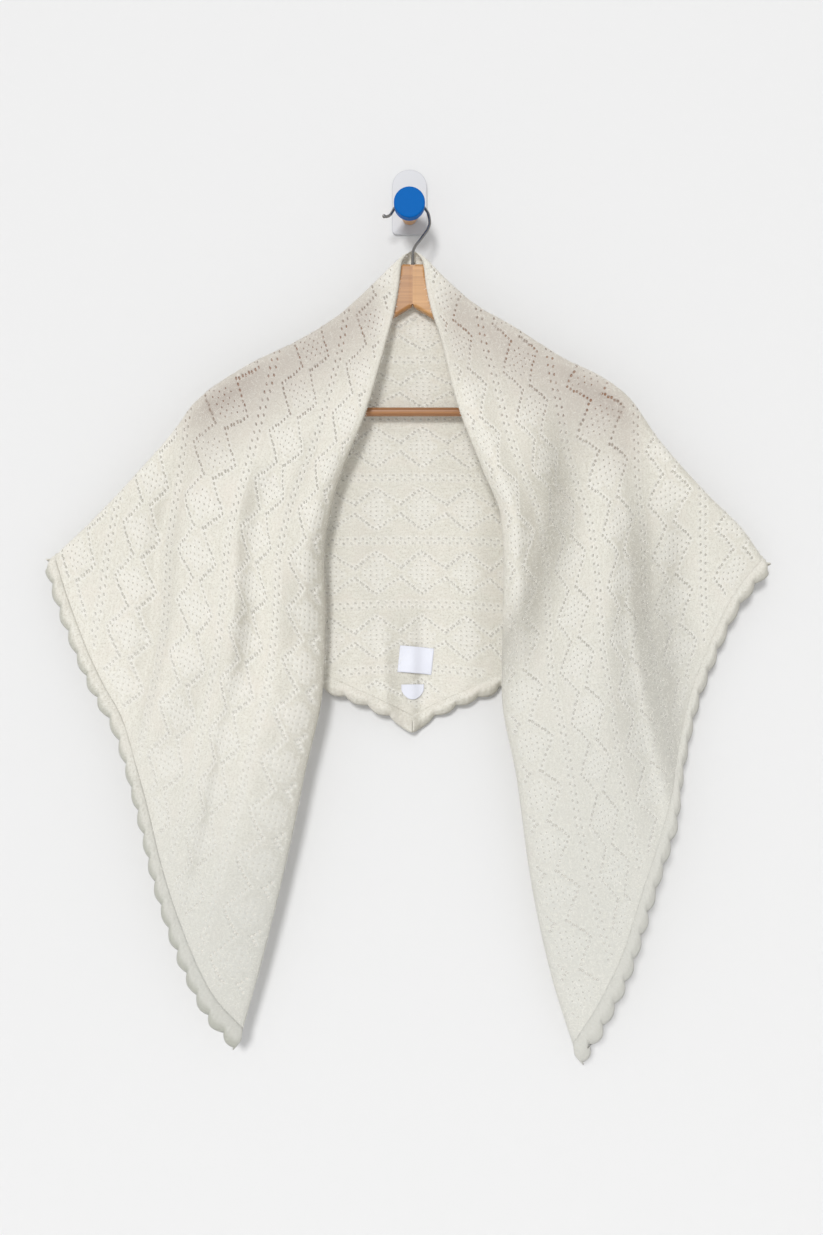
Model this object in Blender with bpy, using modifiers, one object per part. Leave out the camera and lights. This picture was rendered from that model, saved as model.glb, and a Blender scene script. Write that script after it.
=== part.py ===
"""A knitted lace shawl draped over a wooden clothes hanger that hangs from a wall peg.

Metres, +Z up. The origin is the centre of the wall plate's back face, +X runs to the viewer's right
and +Y into the wall, so everything built lies at negative Y. "Depth" below is the distance in front
of the wall, which is -Y.

The shawl is one shallow triangle. Its flat coordinates are s, along the long edge from the back of
the neck, and t, from the long edge towards the back point. It is folded over each hanger arm along
the line from the neck to a corner on the short side: what lies on the neck's side of that line is
the back, and the rest hangs in front and ends in a long tip.
"""

import math
from collections import namedtuple

import bmesh
import bpy
import numpy as np
from mathutils import Matrix

# ---------------------------------------------------------------- driving dimensions

PIECE_GAP = 0.0003  # between neighbouring pieces
FOLD_GAP = 0.0005  # along the fold, where the walls' ends lean towards each other

WALL_PLATE = {"width": 0.0384, "height": 0.0716, "thickness": 0.003, "corner": 0.0055}
PLATE_ROUNDING = 0.0008
PEG = {"height": -0.0175, "radius": 0.008, "cap_radius": 0.0165, "cap_back": 0.0475, "cap_front": 0.062}
PEG_ROUNDING = 0.0006
PEG_CAP_ROUNDING = 0.0015

HANGER_X = 0.0034  # the hanger's centre line
HANGER_DEPTH = 0.040  # its middle plane
WOOD_THICKNESS = 0.012
WOOD_ROUNDING = 0.0028
WIRE_RADIUS = 0.0016
BAR_RADIUS = 0.0048
BAR_HEIGHT = -0.2359
BAR_HALF_SPAN = 0.1990
BAR_HOLE_CLEARANCE = 0.0003

HALF_LENGTH = 0.900  # of the shawl's long edge
FLAT_DEPTH = 0.535  # from the long edge to the back point
CORNER_T = 0.308  # where the fold over an arm meets the short side
CLOTH = 0.002  # thickness of the knitted wall
EDGING_WIDTH = 0.013
SCALLOP_DEPTH = 0.0045
FRONT_SCALLOPS = 22
BACK_SCALLOPS = 16
SCALLOP_STEPS = 4
NECK_GAP = 0.0009  # keeps the two fronts' narrow ends apart behind the hook
BLEND = 0.12  # from the fold to where the cloth hangs free of the arm
STRAIGHTEN = 0.10  # over which the length taken up by the fold is regained

# A label's turn is in degrees, and "proud" is how far it stands off the middle of the back's wall.
MAIN_LABEL = {"s": 0.0036, "t": 0.4572, "width": 0.0365, "height": 0.0300, "turn": -5.5, "proud": 0.0021}
CARE_LABEL = {"s": 0.0002, "t": 0.4932, "width": 0.0240, "height": 0.0170, "turn": 0.0, "proud": 0.0018}
LABEL_THICKNESS = 0.0006
LABEL_CORNER = 0.45  # share of the care label's height by which its lower corners are rounded off

# ---------------------------------------------------------------- tables

Place = namedtuple("Place", "out z")  # out from the hanger's centre line, and height
Shoulder = namedtuple("Shoulder", "along depth radius")  # of the cloth's fold, along it from the neck
FrontHang = namedtuple("FrontHang", "run inner middle outer")  # depth below the fold, down each line
BackHang = namedtuple("BackHang", "t depth")
Fold = namedtuple("Fold", "side shape t_top t_low run_top run_low half_width height")
Roll = namedtuple("Roll", "run width back")  # how the front's long edge turns towards the wall

NECK = Place(0.0, -0.0610)
POINT = Place(0.0, -0.5770)

TOP_LINE = {
    "left": [
        NECK,
        Place(0.0060, -0.0660),
        Place(0.0425, -0.1010),
        Place(0.0777, -0.1322),
        Place(0.1226, -0.1600),
        Place(0.1633, -0.1792),
        Place(0.2082, -0.2060),
        Place(0.2329, -0.2263),
        Place(0.2543, -0.2552),
        Place(0.2906, -0.2959),
        Place(0.3473, -0.3536),
        Place(0.3950, -0.3976),
    ],
    "right": [
        NECK,
        Place(0.0060, -0.0660),
        Place(0.0345, -0.0945),
        Place(0.0646, -0.1200),
        Place(0.1095, -0.1460),
        Place(0.1588, -0.1771),
        Place(0.2037, -0.1996),
        Place(0.2283, -0.2178),
        Place(0.2647, -0.2670),
        Place(0.3139, -0.3205),
        Place(0.3556, -0.3611),
        Place(0.3850, -0.4019),
    ],
}
INNER_EDGE = {
    "left": [
        NECK,
        Place(0.0045, -0.0645),
        Place(0.0065, -0.0760),
        Place(0.0085, -0.0920),
        Place(0.0150, -0.1250),
        Place(0.0225, -0.1514),
        Place(0.0483, -0.2371),
        Place(0.0822, -0.3314),
        Place(0.0920, -0.3949),
        Place(0.0905, -0.4373),
        Place(0.0928, -0.5220),
        Place(0.1140, -0.6279),
        Place(0.1288, -0.6989),
        Place(0.1585, -0.8207),
        Place(0.1873, -0.9220),
    ],
    "right": [
        NECK,
        Place(0.0045, -0.0645),
        Place(0.0065, -0.0770),
        Place(0.0090, -0.0950),
        Place(0.0165, -0.1250),
        Place(0.0260, -0.1514),
        Place(0.0480, -0.2371),
        Place(0.0713, -0.2996),
        Place(0.0910, -0.3526),
        Place(0.0945, -0.4200),
        Place(0.0930, -0.5326),
        Place(0.1095, -0.6279),
        Place(0.1253, -0.7391),
        Place(0.1465, -0.8376),
        Place(0.1785, -0.9390),
    ],
}
OUTER_EDGE = {
    "left": [
        Place(0.1873, -0.9220),
        Place(0.2220, -0.8780),
        Place(0.2560, -0.8000),
        Place(0.2760, -0.7357),
        Place(0.2910, -0.6718),
        Place(0.3060, -0.6180),
        Place(0.3210, -0.5750),
        Place(0.3410, -0.5400),
        Place(0.3632, -0.4926),
        Place(0.3814, -0.4435),
        Place(0.3950, -0.3976),
    ],
    "right": [
        Place(0.1785, -0.9390),
        Place(0.2050, -0.8930),
        Place(0.2300, -0.8400),
        Place(0.2540, -0.7620),
        Place(0.2720, -0.7070),
        Place(0.2840, -0.6640),
        Place(0.2950, -0.6070),
        Place(0.3070, -0.5530),
        Place(0.3280, -0.4980),
        Place(0.3534, -0.4414),
        Place(0.3850, -0.4019),
    ],
}
SHOULDER = [
    Shoulder(0.000, depth=0.0345, radius=0.0060),
    Shoulder(0.025, depth=0.0395, radius=0.0085),
    Shoulder(0.270, depth=0.0400, radius=0.0085),
    Shoulder(0.340, depth=0.0370, radius=0.0090),
    Shoulder(0.420, depth=0.0300, radius=0.0080),
    Shoulder(0.491, depth=0.0250, radius=0.0060),
]
FRONT_HANG = {
    "left": [
        FrontHang(0.00, inner=0.050, middle=0.049, outer=0.042),
        FrontHang(0.15, inner=0.054, middle=0.052, outer=0.040),
        FrontHang(0.35, inner=0.058, middle=0.053, outer=0.038),
        FrontHang(0.60, inner=0.055, middle=0.051, outer=0.038),
        FrontHang(0.90, inner=0.044, middle=0.044, outer=0.040),
    ],
    "right": [
        FrontHang(0.00, inner=0.050, middle=0.049, outer=0.042),
        FrontHang(0.15, inner=0.056, middle=0.052, outer=0.041),
        FrontHang(0.35, inner=0.059, middle=0.052, outer=0.040),
        FrontHang(0.60, inner=0.054, middle=0.050, outer=0.040),
        FrontHang(0.90, inner=0.042, middle=0.042, outer=0.040),
    ],
}
BACK_HANG = [
    BackHang(0.00, depth=0.030),
    BackHang(0.10, depth=0.029),
    BackHang(0.20, depth=0.026),
    BackHang(0.30, depth=0.022),
    BackHang(0.42, depth=0.018),
    BackHang(0.54, depth=0.017),
]
MIDDLE_SHARE = 0.45  # where the middle column of FRONT_HANG lies, from the long edge to the corner
# A step stands forward on the side of the long edge and falls back on the other.
FOLDS = [
    Fold("left", "step", 0.150, 0.172, 0.03, 0.42, half_width=0.022, height=0.010),
    Fold("left", "ridge", 0.182, 0.176, 0.05, 0.34, half_width=0.014, height=-0.005),
    Fold("left", "ridge", 0.082, 0.066, 0.12, 0.42, half_width=0.013, height=-0.004),
    Fold("left", "ridge", 0.108, 0.068, 0.20, 0.58, half_width=0.018, height=0.004),
    Fold("left", "ridge", 0.046, 0.040, 0.22, 0.75, half_width=0.016, height=0.004),
    Fold("right", "ridge", 0.030, 0.010, 0.10, 0.46, half_width=0.016, height=0.005),
    Fold("right", "step", 0.110, 0.010, 0.06, 0.44, half_width=0.015, height=0.010),
    Fold("right", "ridge", 0.140, 0.078, 0.10, 0.50, half_width=0.018, height=0.003),
    Fold("right", "step", 0.158, 0.112, 0.02, 0.60, half_width=0.016, height=0.013),
    Fold("right", "ridge", 0.232, 0.212, 0.04, 0.20, half_width=0.018, height=-0.003),
]
NARROWEST = 0.2  # of the back's width at the corners, below which its rows no longer bend more
FOLD_FADE = 0.3  # share of a fold's length over which it rises, and over which it dies away
BACK_FOLDS = [
    Fold("back", "ridge", 0.004, 0.000, 0.37, 0.60, half_width=0.026, height=-0.006),
    Fold("back", "ridge", -0.066, -0.050, 0.22, 0.56, half_width=0.024, height=0.003),
    Fold("back", "ridge", 0.068, 0.052, 0.24, 0.56, half_width=0.024, height=0.003),
]
ROLL = [
    Roll(0.00, width=0.022, back=0.000),
    Roll(0.12, width=0.022, back=0.000),
    Roll(0.19, width=0.022, back=0.001),
    Roll(0.26, width=0.022, back=0.008),
    Roll(0.36, width=0.024, back=0.014),
    Roll(0.62, width=0.028, back=0.012),
    Roll(0.90, width=0.040, back=0.008),
]

ARM_TOP = [
    Place(0.0130, -0.0788),
    Place(0.0140, -0.0930),
    Place(0.0210, -0.1090),
    Place(0.0420, -0.1270),
    Place(0.0800, -0.1450),
    Place(0.1226, -0.1630),
    Place(0.1633, -0.1826),
    Place(0.2025, -0.2070),
]
ARM_END = {"centre": Place(0.1990, -0.2256), "radius": 0.0168}
ARM_UNDER = [
    Place(0.1900, -0.2392),
    Place(0.1600, -0.2180),
    Place(0.1100, -0.1860),
    Place(0.0600, -0.1590),
    Place(0.0260, -0.1390),
]
ARM_APEX = Place(0.0, -0.1231)
HOOK_ROUTE = [
    (-0.0275, -0.0262),
    (-0.0248, -0.0270),
    (-0.0213, -0.0258),
    (-0.0190, -0.0230),
    (-0.0164, -0.0185),
    (-0.0095, -0.0104),
    (0.0000, -0.0076),
    (0.0095, -0.0104),
    (0.0164, -0.0180),
    (0.0205, -0.0250),
    (0.0217, -0.0336),
    (0.0199, -0.0400),
    (0.0164, -0.0453),
    (0.0112, -0.0522),
    (0.0060, -0.0590),
    (0.0037, -0.0650),
    (0.0034, -0.0785),
]
HOOK_POINTS = 46

Finish = namedtuple("Finish", "colour roughness metallic")
FINISHES = {
    "ivory_knit": Finish((0.80, 0.77, 0.68), 0.95, 0.0),
    "ivory_crochet": Finish((0.82, 0.80, 0.71), 0.95, 0.0),
    "white_satin_label": Finish((0.86, 0.87, 0.88), 0.55, 0.0),
    "oiled_beech": Finish((0.60, 0.37, 0.19), 0.50, 0.0),
    "steel_wire": Finish((0.45, 0.44, 0.43), 0.25, 1.0),
    "white_plate": Finish((0.68, 0.69, 0.70), 0.45, 0.0),
    "blue_cap": Finish((0.02, 0.14, 0.50), 0.40, 0.0),
}

CORNER_S = HALF_LENGTH * (1 - CORNER_T / FLAT_DEPTH)
FOLD_LENGTH = math.hypot(CORNER_S, CORNER_T)
FOLD_COS = CORNER_S / FOLD_LENGTH
FOLD_SIN = CORNER_T / FOLD_LENGTH
SHORT_SIDE = math.hypot(HALF_LENGTH, FLAT_DEPTH)
# The share of every distance from the neck that is lost by moving the short sides inwards by one metre.
SHARE_PER_METRE = SHORT_SIDE / (HALF_LENGTH * FLAT_DEPTH)
PANEL_SHARE = 1 - (EDGING_WIDTH + PIECE_GAP / 2) * SHARE_PER_METRE
STRIP_SHARE = PANEL_SHARE + FOLD_GAP * SHARE_PER_METRE

# How closely the cloth's grids are spaced.
FRONT_LINES = 18
FRONT_ROWS = 26
BACK_COLUMNS = 32
BACK_ROWS_ABOVE = 12
BACK_ROWS_BELOW = 8
LINE_CROWDING = 1.25  # lines lie closer together towards the long edge
ROW_CROWDING = 1.5  # rows lie closer together towards the fold
BESIDE_CORNER = np.array([0.002, 0.006, 0.012])  # shares of the shawl's depth to rows round the corner
FIRST_STEP = 0.0016  # share of a line's length to the row that keeps the wall's end square to the fold

# ---------------------------------------------------------------- scene helpers


def clear_scene():
    for obj in list(bpy.data.objects):
        bpy.data.objects.remove(obj, do_unlink=True)


def new_collection(name):
    collection = bpy.data.collections.new(name)
    bpy.context.scene.collection.children.link(collection)
    return collection


def material(name):
    made = bpy.data.materials.get(name)
    if made is None:
        finish = FINISHES[name]
        made = bpy.data.materials.new(name)
        made.use_nodes = True
        shader = made.node_tree.nodes["Principled BSDF"]
        shader.inputs["Base Color"].default_value = (*finish.colour, 1)
        shader.inputs["Roughness"].default_value = finish.roughness
        shader.inputs["Metallic"].default_value = finish.metallic
    return made


def add_mesh(name, mesh, finish, collection):
    obj = bpy.data.objects.new(name, mesh)
    obj.data.materials.append(material(finish))
    collection.objects.link(obj)
    return obj


# ---------------------------------------------------------------- curves through tables


def through(knots, values, at):
    """A smooth curve through values given at knots, read at other places. It never swings past them."""
    knots, values, at = (np.asarray(numbers, float) for numbers in (knots, values, at))
    chords = np.diff(values) / np.diff(knots)
    before, after = chords[:-1], chords[1:]
    same_way = before * after > 0
    mean = 2 * before * after / np.where(same_way, before + after, 1)
    slopes = np.concatenate([chords[:1], np.where(same_way, mean, 0), chords[-1:]])
    first = np.clip(np.searchsorted(knots, at) - 1, 0, len(knots) - 2)
    width = knots[first + 1] - knots[first]
    f = np.clip((at - knots[first]) / width, 0, 1)
    rise = 3 * f**2 - 2 * f**3
    leaving = (f**3 - 2 * f**2 + f) * slopes[first]
    arriving = (f**3 - f**2) * slopes[first + 1]
    return (1 - rise) * values[first] + rise * values[first + 1] + width * (leaving + arriving)


def column(rows, key, name, at):
    return through([getattr(row, key) for row in rows], [getattr(row, name) for row in rows], at)


def smooth_step(f):
    f = np.clip(f, 0, 1)
    return f * f * (3 - 2 * f)


def stray(places, share):
    """How far a run of places lies from the straight line between its ends, at a share of its length."""
    out = np.array([place.out for place in places])
    z = np.array([place.z for place in places])
    steps = np.hypot(np.diff(out), np.diff(z))
    shares = np.concatenate([[0], np.cumsum(steps)]) / steps.sum()
    share = np.clip(share, 0, 1)
    return (
        through(shares, out, share) - (out[0] + (out[-1] - out[0]) * share),
        through(shares, z, share) - (z[0] + (z[-1] - z[0]) * share),
    )


def place_along(places, share):
    straight_out = places[0].out + (places[-1].out - places[0].out) * share
    straight_z = places[0].z + (places[-1].z - places[0].z) * share
    out, z = stray(places, share)
    return straight_out + out, straight_z + z


# ---------------------------------------------------------------- the drape


def over_the_arm(from_fold, radius):
    """Where a point of the cloth shows below the fold's top line, and how far it stands off its plane."""
    turn = np.minimum(from_fold / radius, math.pi / 2)
    beyond = np.maximum(from_fold - radius * math.pi / 2, 0)
    regained = radius * (math.pi / 2 - 1) * smooth_step(beyond / STRAIGHTEN)
    return radius * (1 - np.cos(turn)) + beyond + regained, radius * np.sin(turn)


def fold_height(folds, side, across, run):
    """The folds' height towards the viewer, at a place across them and a run down them."""
    height = np.zeros_like(across)
    for fold in folds:
        if fold.side != side:
            continue
        share = (run - fold.run_top) / (fold.run_low - fold.run_top)
        strength = smooth_step(share / FOLD_FADE) * smooth_step((1 - share) / FOLD_FADE)
        middle = fold.t_top + (fold.t_low - fold.t_top) * np.clip(share, 0, 1)
        off = (across - middle) / fold.half_width
        shape = np.exp(-(off**2)) if fold.shape == "ridge" else -0.5 * np.tanh(off)
        height += fold.height * strength * shape
    return height


def front_point(side, s, t):
    """A flat point of the front, as world x, y and z."""
    from_fold = np.maximum(s * FOLD_SIN - t * FOLD_COS, 0)
    along = np.clip(s * FOLD_COS + t * FOLD_SIN, 0, FOLD_LENGTH)
    seen, lift = over_the_arm(from_fold, column(SHOULDER, "along", "radius", along))
    seen_s = s + (seen - from_fold) * FOLD_SIN
    seen_t = t - (seen - from_fold) * FOLD_COS

    to_corner = seen_t / CORNER_T
    to_tip = (seen_s - CORNER_S * to_corner) / HALF_LENGTH
    to_neck = 1 - to_corner - to_tip
    tiny = 1e-9
    strays = [
        ((1 - to_tip) ** 2, stray(TOP_LINE[side], to_corner / np.maximum(to_neck + to_corner, tiny))),
        ((1 - to_corner) ** 2, stray(INNER_EDGE[side], to_tip / np.maximum(to_neck + to_tip, tiny))),
        ((1 - to_neck) ** 2, stray(OUTER_EDGE[side], to_corner / np.maximum(to_corner + to_tip, tiny))),
    ]
    corner, tip = TOP_LINE[side][-1], INNER_EDGE[side][-1]
    out = to_neck * NECK.out + to_corner * corner.out + to_tip * tip.out
    z = to_neck * NECK.z + to_corner * corner.z + to_tip * tip.z
    for weight, (stray_out, stray_z) in strays:
        out = out + weight * stray_out
        z = z + weight * stray_z

    run = np.clip(s - CORNER_S * t / CORNER_T, 0, HALF_LENGTH)
    share = np.clip(t / CORNER_T, 0, 1)
    inner, middle, outer = (column(FRONT_HANG[side], "run", name, run) for name in FrontHang._fields[1:])
    hang = (
        inner * (1 - share) * (1 - share / MIDDLE_SHARE)
        + middle * share * (1 - share) / (MIDDLE_SHARE * (1 - MIDDLE_SHARE))
        + outer * share * (share - MIDDLE_SHARE) / (1 - MIDDLE_SHARE)
    )
    on_arm = column(SHOULDER, "along", "depth", along) + lift
    depth = on_arm + (hang - on_arm) * smooth_step(from_fold / BLEND)
    depth = depth + fold_height(FOLDS, side, t, run)
    width = column(ROLL, "run", "width", run)
    depth = depth - column(ROLL, "run", "back", run) * np.clip(1 - t / width, 0, 1) ** 2
    return HANGER_X + (-out if side == "left" else out), -depth, z


def back_point(s, t):
    """A flat point of the back, as world x, y and z."""
    from_fold = np.maximum(t * FOLD_COS - np.abs(s) * FOLD_SIN, 0)
    along = np.clip(np.abs(s) * FOLD_COS + t * FOLD_SIN, 0, FOLD_LENGTH)
    seen, lift = over_the_arm(from_fold, column(SHOULDER, "along", "radius", along))
    seen_s = s + np.sign(s) * (from_fold - seen) * FOLD_SIN
    seen_t = t - (from_fold - seen) * FOLD_COS

    middle_z = NECK.z + (POINT.z - NECK.z) * seen_t / FLAT_DEPTH
    above = np.clip(seen_t / CORNER_T, 1e-5, 1)
    below = np.clip((seen_t - CORNER_T) / (FLAT_DEPTH - CORNER_T), 0, 1)
    out_and_droop = []
    for side in ("left", "right"):
        edge_out, edge_z = place_along(TOP_LINE[side], above)
        fall = edge_z - (NECK.z + (POINT.z - NECK.z) * above * CORNER_T / FLAT_DEPTH)
        fall = fall / (above**2 * np.maximum(1 - below, NARROWEST))
        out_and_droop.append((edge_out / above, fall))
    out = np.where(s < 0, out_and_droop[0][0], out_and_droop[1][0]) * seen_s / CORNER_S
    droop = np.where(s < 0, out_and_droop[0][1], out_and_droop[1][1]) * (seen_s / CORNER_S) ** 2

    hang = column(BACK_HANG, "t", "depth", t)
    on_arm = column(SHOULDER, "along", "depth", along) - lift
    depth = on_arm + (hang - on_arm) * smooth_step(from_fold / BLEND)
    depth = depth + fold_height(BACK_FOLDS, "back", s, t)
    return HANGER_X + out, -depth, middle_z + droop


# ---------------------------------------------------------------- cloth pieces


def cloth_wall(name, points, finish, collection, thickness=CLOTH):
    """A wall of even thickness on a grid of points, whose rows may narrow to one place."""
    rows, columns = points.shape[:2]
    bm = bmesh.new()
    bmesh.ops.create_grid(bm, x_segments=columns - 1, y_segments=rows - 1, size=1)
    bm.verts.ensure_lookup_table()
    for vert, place in zip(bm.verts, points.reshape(-1, 3)):
        vert.co = place
    bmesh.ops.remove_doubles(bm, verts=bm.verts, dist=1e-5)
    bmesh.ops.dissolve_degenerate(bm, edges=bm.edges, dist=1e-6)
    bmesh.ops.recalc_face_normals(bm, faces=bm.faces)
    mesh = bpy.data.meshes.new(name)
    bm.to_mesh(mesh)
    bm.free()
    mesh.shade_smooth()
    obj = add_mesh(name, mesh, finish, collection)
    wall = obj.modifiers.new("wall", "SOLIDIFY")
    wall.thickness = thickness
    wall.offset = 0
    wall.use_even_offset = False
    return obj


def off_the_fold(s, t, gap):
    """Flat points moved half a gap from the fold line, to the front or, where it is negative, to the back."""
    return s + gap / 2 * FOLD_SIN, t - gap / 2 * FOLD_COS


def front_lines():
    """Shares of the way from the long edge to the corner, closer together at both ends."""
    spread = np.linspace(0, 1, FRONT_LINES + 1) ** LINE_CROWDING
    beside = 1 - 3 * BESIDE_CORNER[::-1]
    return np.concatenate([spread * (1 - 5 * BESIDE_CORNER[-1]), beside, [1]])


def back_rows():
    """Shares of the way from the long edge to the back point, one of them at the corners."""
    corner = CORNER_T / FLAT_DEPTH
    beside = corner + BESIDE_CORNER
    above = np.linspace(0, corner, BACK_ROWS_ABOVE + 1)
    return np.concatenate([above, beside, np.linspace(beside[-1], 1, BACK_ROWS_BELOW + 1)[1:]])


def front_panel_points(side):
    t = front_lines()[:, None] * CORNER_T * PANEL_SHARE
    rows = np.linspace(0, 1, FRONT_ROWS + 1) ** ROW_CROWDING
    rows = np.concatenate([[0], FIRST_STEP + (1 - FIRST_STEP) * rows])[None, :]
    first = np.maximum(CORNER_S * t / CORNER_T, NECK_GAP)
    last = HALF_LENGTH * (PANEL_SHARE - t / FLAT_DEPTH)
    s, t = off_the_fold(first + (last - first) * rows, t + 0 * rows, FOLD_GAP)
    return np.stack(front_point(side, s, t), axis=-1)


def back_panel_points():
    t = back_rows()[:, None] * FLAT_DEPTH * PANEL_SHARE
    across = np.sin(np.linspace(-1, 1, BACK_COLUMNS + 1) * math.pi / 2)[None, :]
    to_fold = CORNER_S * t / CORNER_T - FOLD_GAP / FOLD_SIN / 2
    half_width = np.maximum(np.minimum(to_fold, HALF_LENGTH * (PANEL_SHARE - t / FLAT_DEPTH)), 0)
    return np.stack(back_point(half_width * across, t + 0 * across), axis=-1)


def edge_place(turn):
    """A flat place on the short side: 0 at the front tip, 1 at the fold's corner, 2 at the back point."""
    s = np.where(turn < 1, HALF_LENGTH + (CORNER_S - HALF_LENGTH) * turn, CORNER_S * (2 - turn))
    return s, FLAT_DEPTH * (1 - s / HALF_LENGTH)


def edging_points(turn, knots, count, drape, gap):
    """A strip from the knitted panel's side to the scalloped one. Its inner side runs straight between
    the knots, where the panel's own rows end."""
    across = np.array([[0, 0.5, 1]])
    s, t = edge_place(turn[:, None])
    share = STRIP_SHARE + (1 - STRIP_SHARE) * across
    bulge = SCALLOP_DEPTH * (np.abs(np.sin(math.pi * count * turn[:, None])) - 0.5)
    push = bulge * across / SHORT_SIDE
    places = off_the_fold(s * share + push * FLAT_DEPTH, t * share + push * HALF_LENGTH, gap)
    points = np.stack(drape(*places), axis=-1)
    ends = off_the_fold(*(flat * STRIP_SHARE for flat in edge_place(knots)), gap)
    for axis, values in enumerate(drape(*ends)):
        points[:, 0, axis] = np.interp(turn, knots, values)
    return points


def front_edging_points(side):
    turn = np.linspace(0, 1, FRONT_SCALLOPS * SCALLOP_STEPS + 1)
    turn = np.insert(turn, -1, 1 - FIRST_STEP)
    return edging_points(turn, front_lines(), FRONT_SCALLOPS, lambda s, t: front_point(side, s, t), FOLD_GAP)


def back_edging_points():
    turn = np.linspace(1, 2, BACK_SCALLOPS * SCALLOP_STEPS + 1)
    turn = np.insert(turn, 1, 1 + FIRST_STEP)
    rows = back_rows()[BACK_ROWS_ABOVE:]
    knots = 1 + (rows - rows[0]) / (1 - rows[0])
    right = edging_points(turn, knots, BACK_SCALLOPS, back_point, -FOLD_GAP)
    left = edging_points(turn, knots, BACK_SCALLOPS, lambda s, t: back_point(-s, t), -FOLD_GAP)
    right[-1] = (left[-1] + right[-1]) / 2
    return np.concatenate([left[:-1], right[::-1]])


def label_points(label, rounded):
    """A small rectangle that lies on the inner face of the back, turned a little."""
    across = np.linspace(-0.5, 0.5, 7)[:, None] * label["width"]
    down = np.linspace(-0.5, 0.5, 5)[None, :] * label["height"]
    if rounded:
        corner = (2 * across / label["width"]) ** 6
        down = down - corner * label["height"] * np.where(down > 0, LABEL_CORNER, 0)
    turn = math.radians(label["turn"])
    s = label["s"] + across * math.cos(turn) + down * math.sin(turn)
    t = label["t"] + down * math.cos(turn) - across * math.sin(turn)
    x, y, z = back_point(s, t)
    return np.stack([x, y - label["proud"], z], axis=-1)


def make_shawl(collection):
    cloth_wall("shawl_back", back_panel_points(), "ivory_knit", collection)
    cloth_wall("edging_back", back_edging_points(), "ivory_crochet", collection)
    for side in ("left", "right"):
        cloth_wall(f"shawl_front_{side}", front_panel_points(side), "ivory_knit", collection)
        cloth_wall(f"edging_front_{side}", front_edging_points(side), "ivory_crochet", collection)
    for name, label in (("main_label", MAIN_LABEL), ("care_label", CARE_LABEL)):
        points = label_points(label, rounded=name == "care_label")
        cloth_wall(name, points, "white_satin_label", collection, thickness=LABEL_THICKNESS)


# ---------------------------------------------------------------- hanger and wall hook


def outline_solid(name, outline, thickness, depth, rounding, finish, collection):
    """A flat piece with an outline in x and z, its edges rounded, centred at a depth from the wall."""
    curve = bpy.data.curves.new(name, "CURVE")
    curve.dimensions = "2D"
    curve.fill_mode = "BOTH"
    curve.extrude = thickness / 2
    spline = curve.splines.new("POLY")
    spline.points.add(len(outline) - 1)
    for point, (x, z) in zip(spline.points, outline):
        point.co = (x, z, 0, 1)
    spline.use_cyclic_u = True
    guide = bpy.data.objects.new(name + "_outline", curve)
    collection.objects.link(guide)
    graph = bpy.context.evaluated_depsgraph_get()
    mesh = bpy.data.meshes.new_from_object(guide.evaluated_get(graph))
    bpy.data.objects.remove(guide, do_unlink=True)

    bm = bmesh.new()
    bm.from_mesh(mesh)
    bmesh.ops.remove_doubles(bm, verts=bm.verts, dist=1e-6)
    bmesh.ops.dissolve_limit(bm, angle_limit=math.radians(1), verts=bm.verts, edges=bm.edges)
    bmesh.ops.recalc_face_normals(bm, faces=bm.faces)
    bm.transform(Matrix.Translation((0, -depth, 0)) @ Matrix.Rotation(math.pi / 2, 4, "X"))
    bm.to_mesh(mesh)
    bm.free()
    mesh.name = name
    mesh.materials.clear()
    obj = add_mesh(name, mesh, finish, collection)
    bevel = obj.modifiers.new("rounded edges", "BEVEL")
    bevel.width = rounding
    bevel.segments = 3
    bevel.limit_method = "ANGLE"
    bevel.angle_limit = math.radians(50)
    return obj


def make_wall_plate(collection):
    half = WALL_PLATE["width"] / 2
    low = -WALL_PLATE["height"] / 2
    corner = WALL_PLATE["corner"]
    top_centre = WALL_PLATE["height"] / 2 - half
    outline = [(half * math.cos(a), top_centre + half * math.sin(a)) for a in np.linspace(0, math.pi, 17)]
    for centre_x, start in ((corner - half, math.pi), (half - corner, 1.5 * math.pi)):
        for a in np.linspace(start, start + math.pi / 2, 5):
            outline.append((centre_x + corner * math.cos(a), low + corner + corner * math.sin(a)))
    thickness = WALL_PLATE["thickness"]
    outline_solid("wall_plate", outline, thickness, thickness / 2, PLATE_ROUNDING, "white_plate", collection)


def make_peg(collection):
    back = WALL_PLATE["thickness"] + PIECE_GAP
    front = PEG["cap_back"] - PIECE_GAP
    lying = Matrix.Rotation(math.pi / 2, 4, "X")
    for name, radius, near, far, rounding, finish in (
        ("wall_peg", PEG["radius"], back, front, PEG_ROUNDING, "oiled_beech"),
        ("peg_cap", PEG["cap_radius"], PEG["cap_back"], PEG["cap_front"], PEG_CAP_ROUNDING, "blue_cap"),
    ):
        bm = bmesh.new()
        bmesh.ops.create_cone(
            bm, cap_ends=True, segments=32, radius1=radius, radius2=radius, depth=far - near
        )
        bm.transform(Matrix.Translation((0, -(near + far) / 2, PEG["height"])) @ lying)
        mesh = bpy.data.meshes.new(name)
        bm.to_mesh(mesh)
        bm.free()
        obj = add_mesh(name, mesh, finish, collection)
        bevel = obj.modifiers.new("rounded edges", "BEVEL")
        bevel.width = rounding
        bevel.segments = 2
        bevel.limit_method = "ANGLE"


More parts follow.
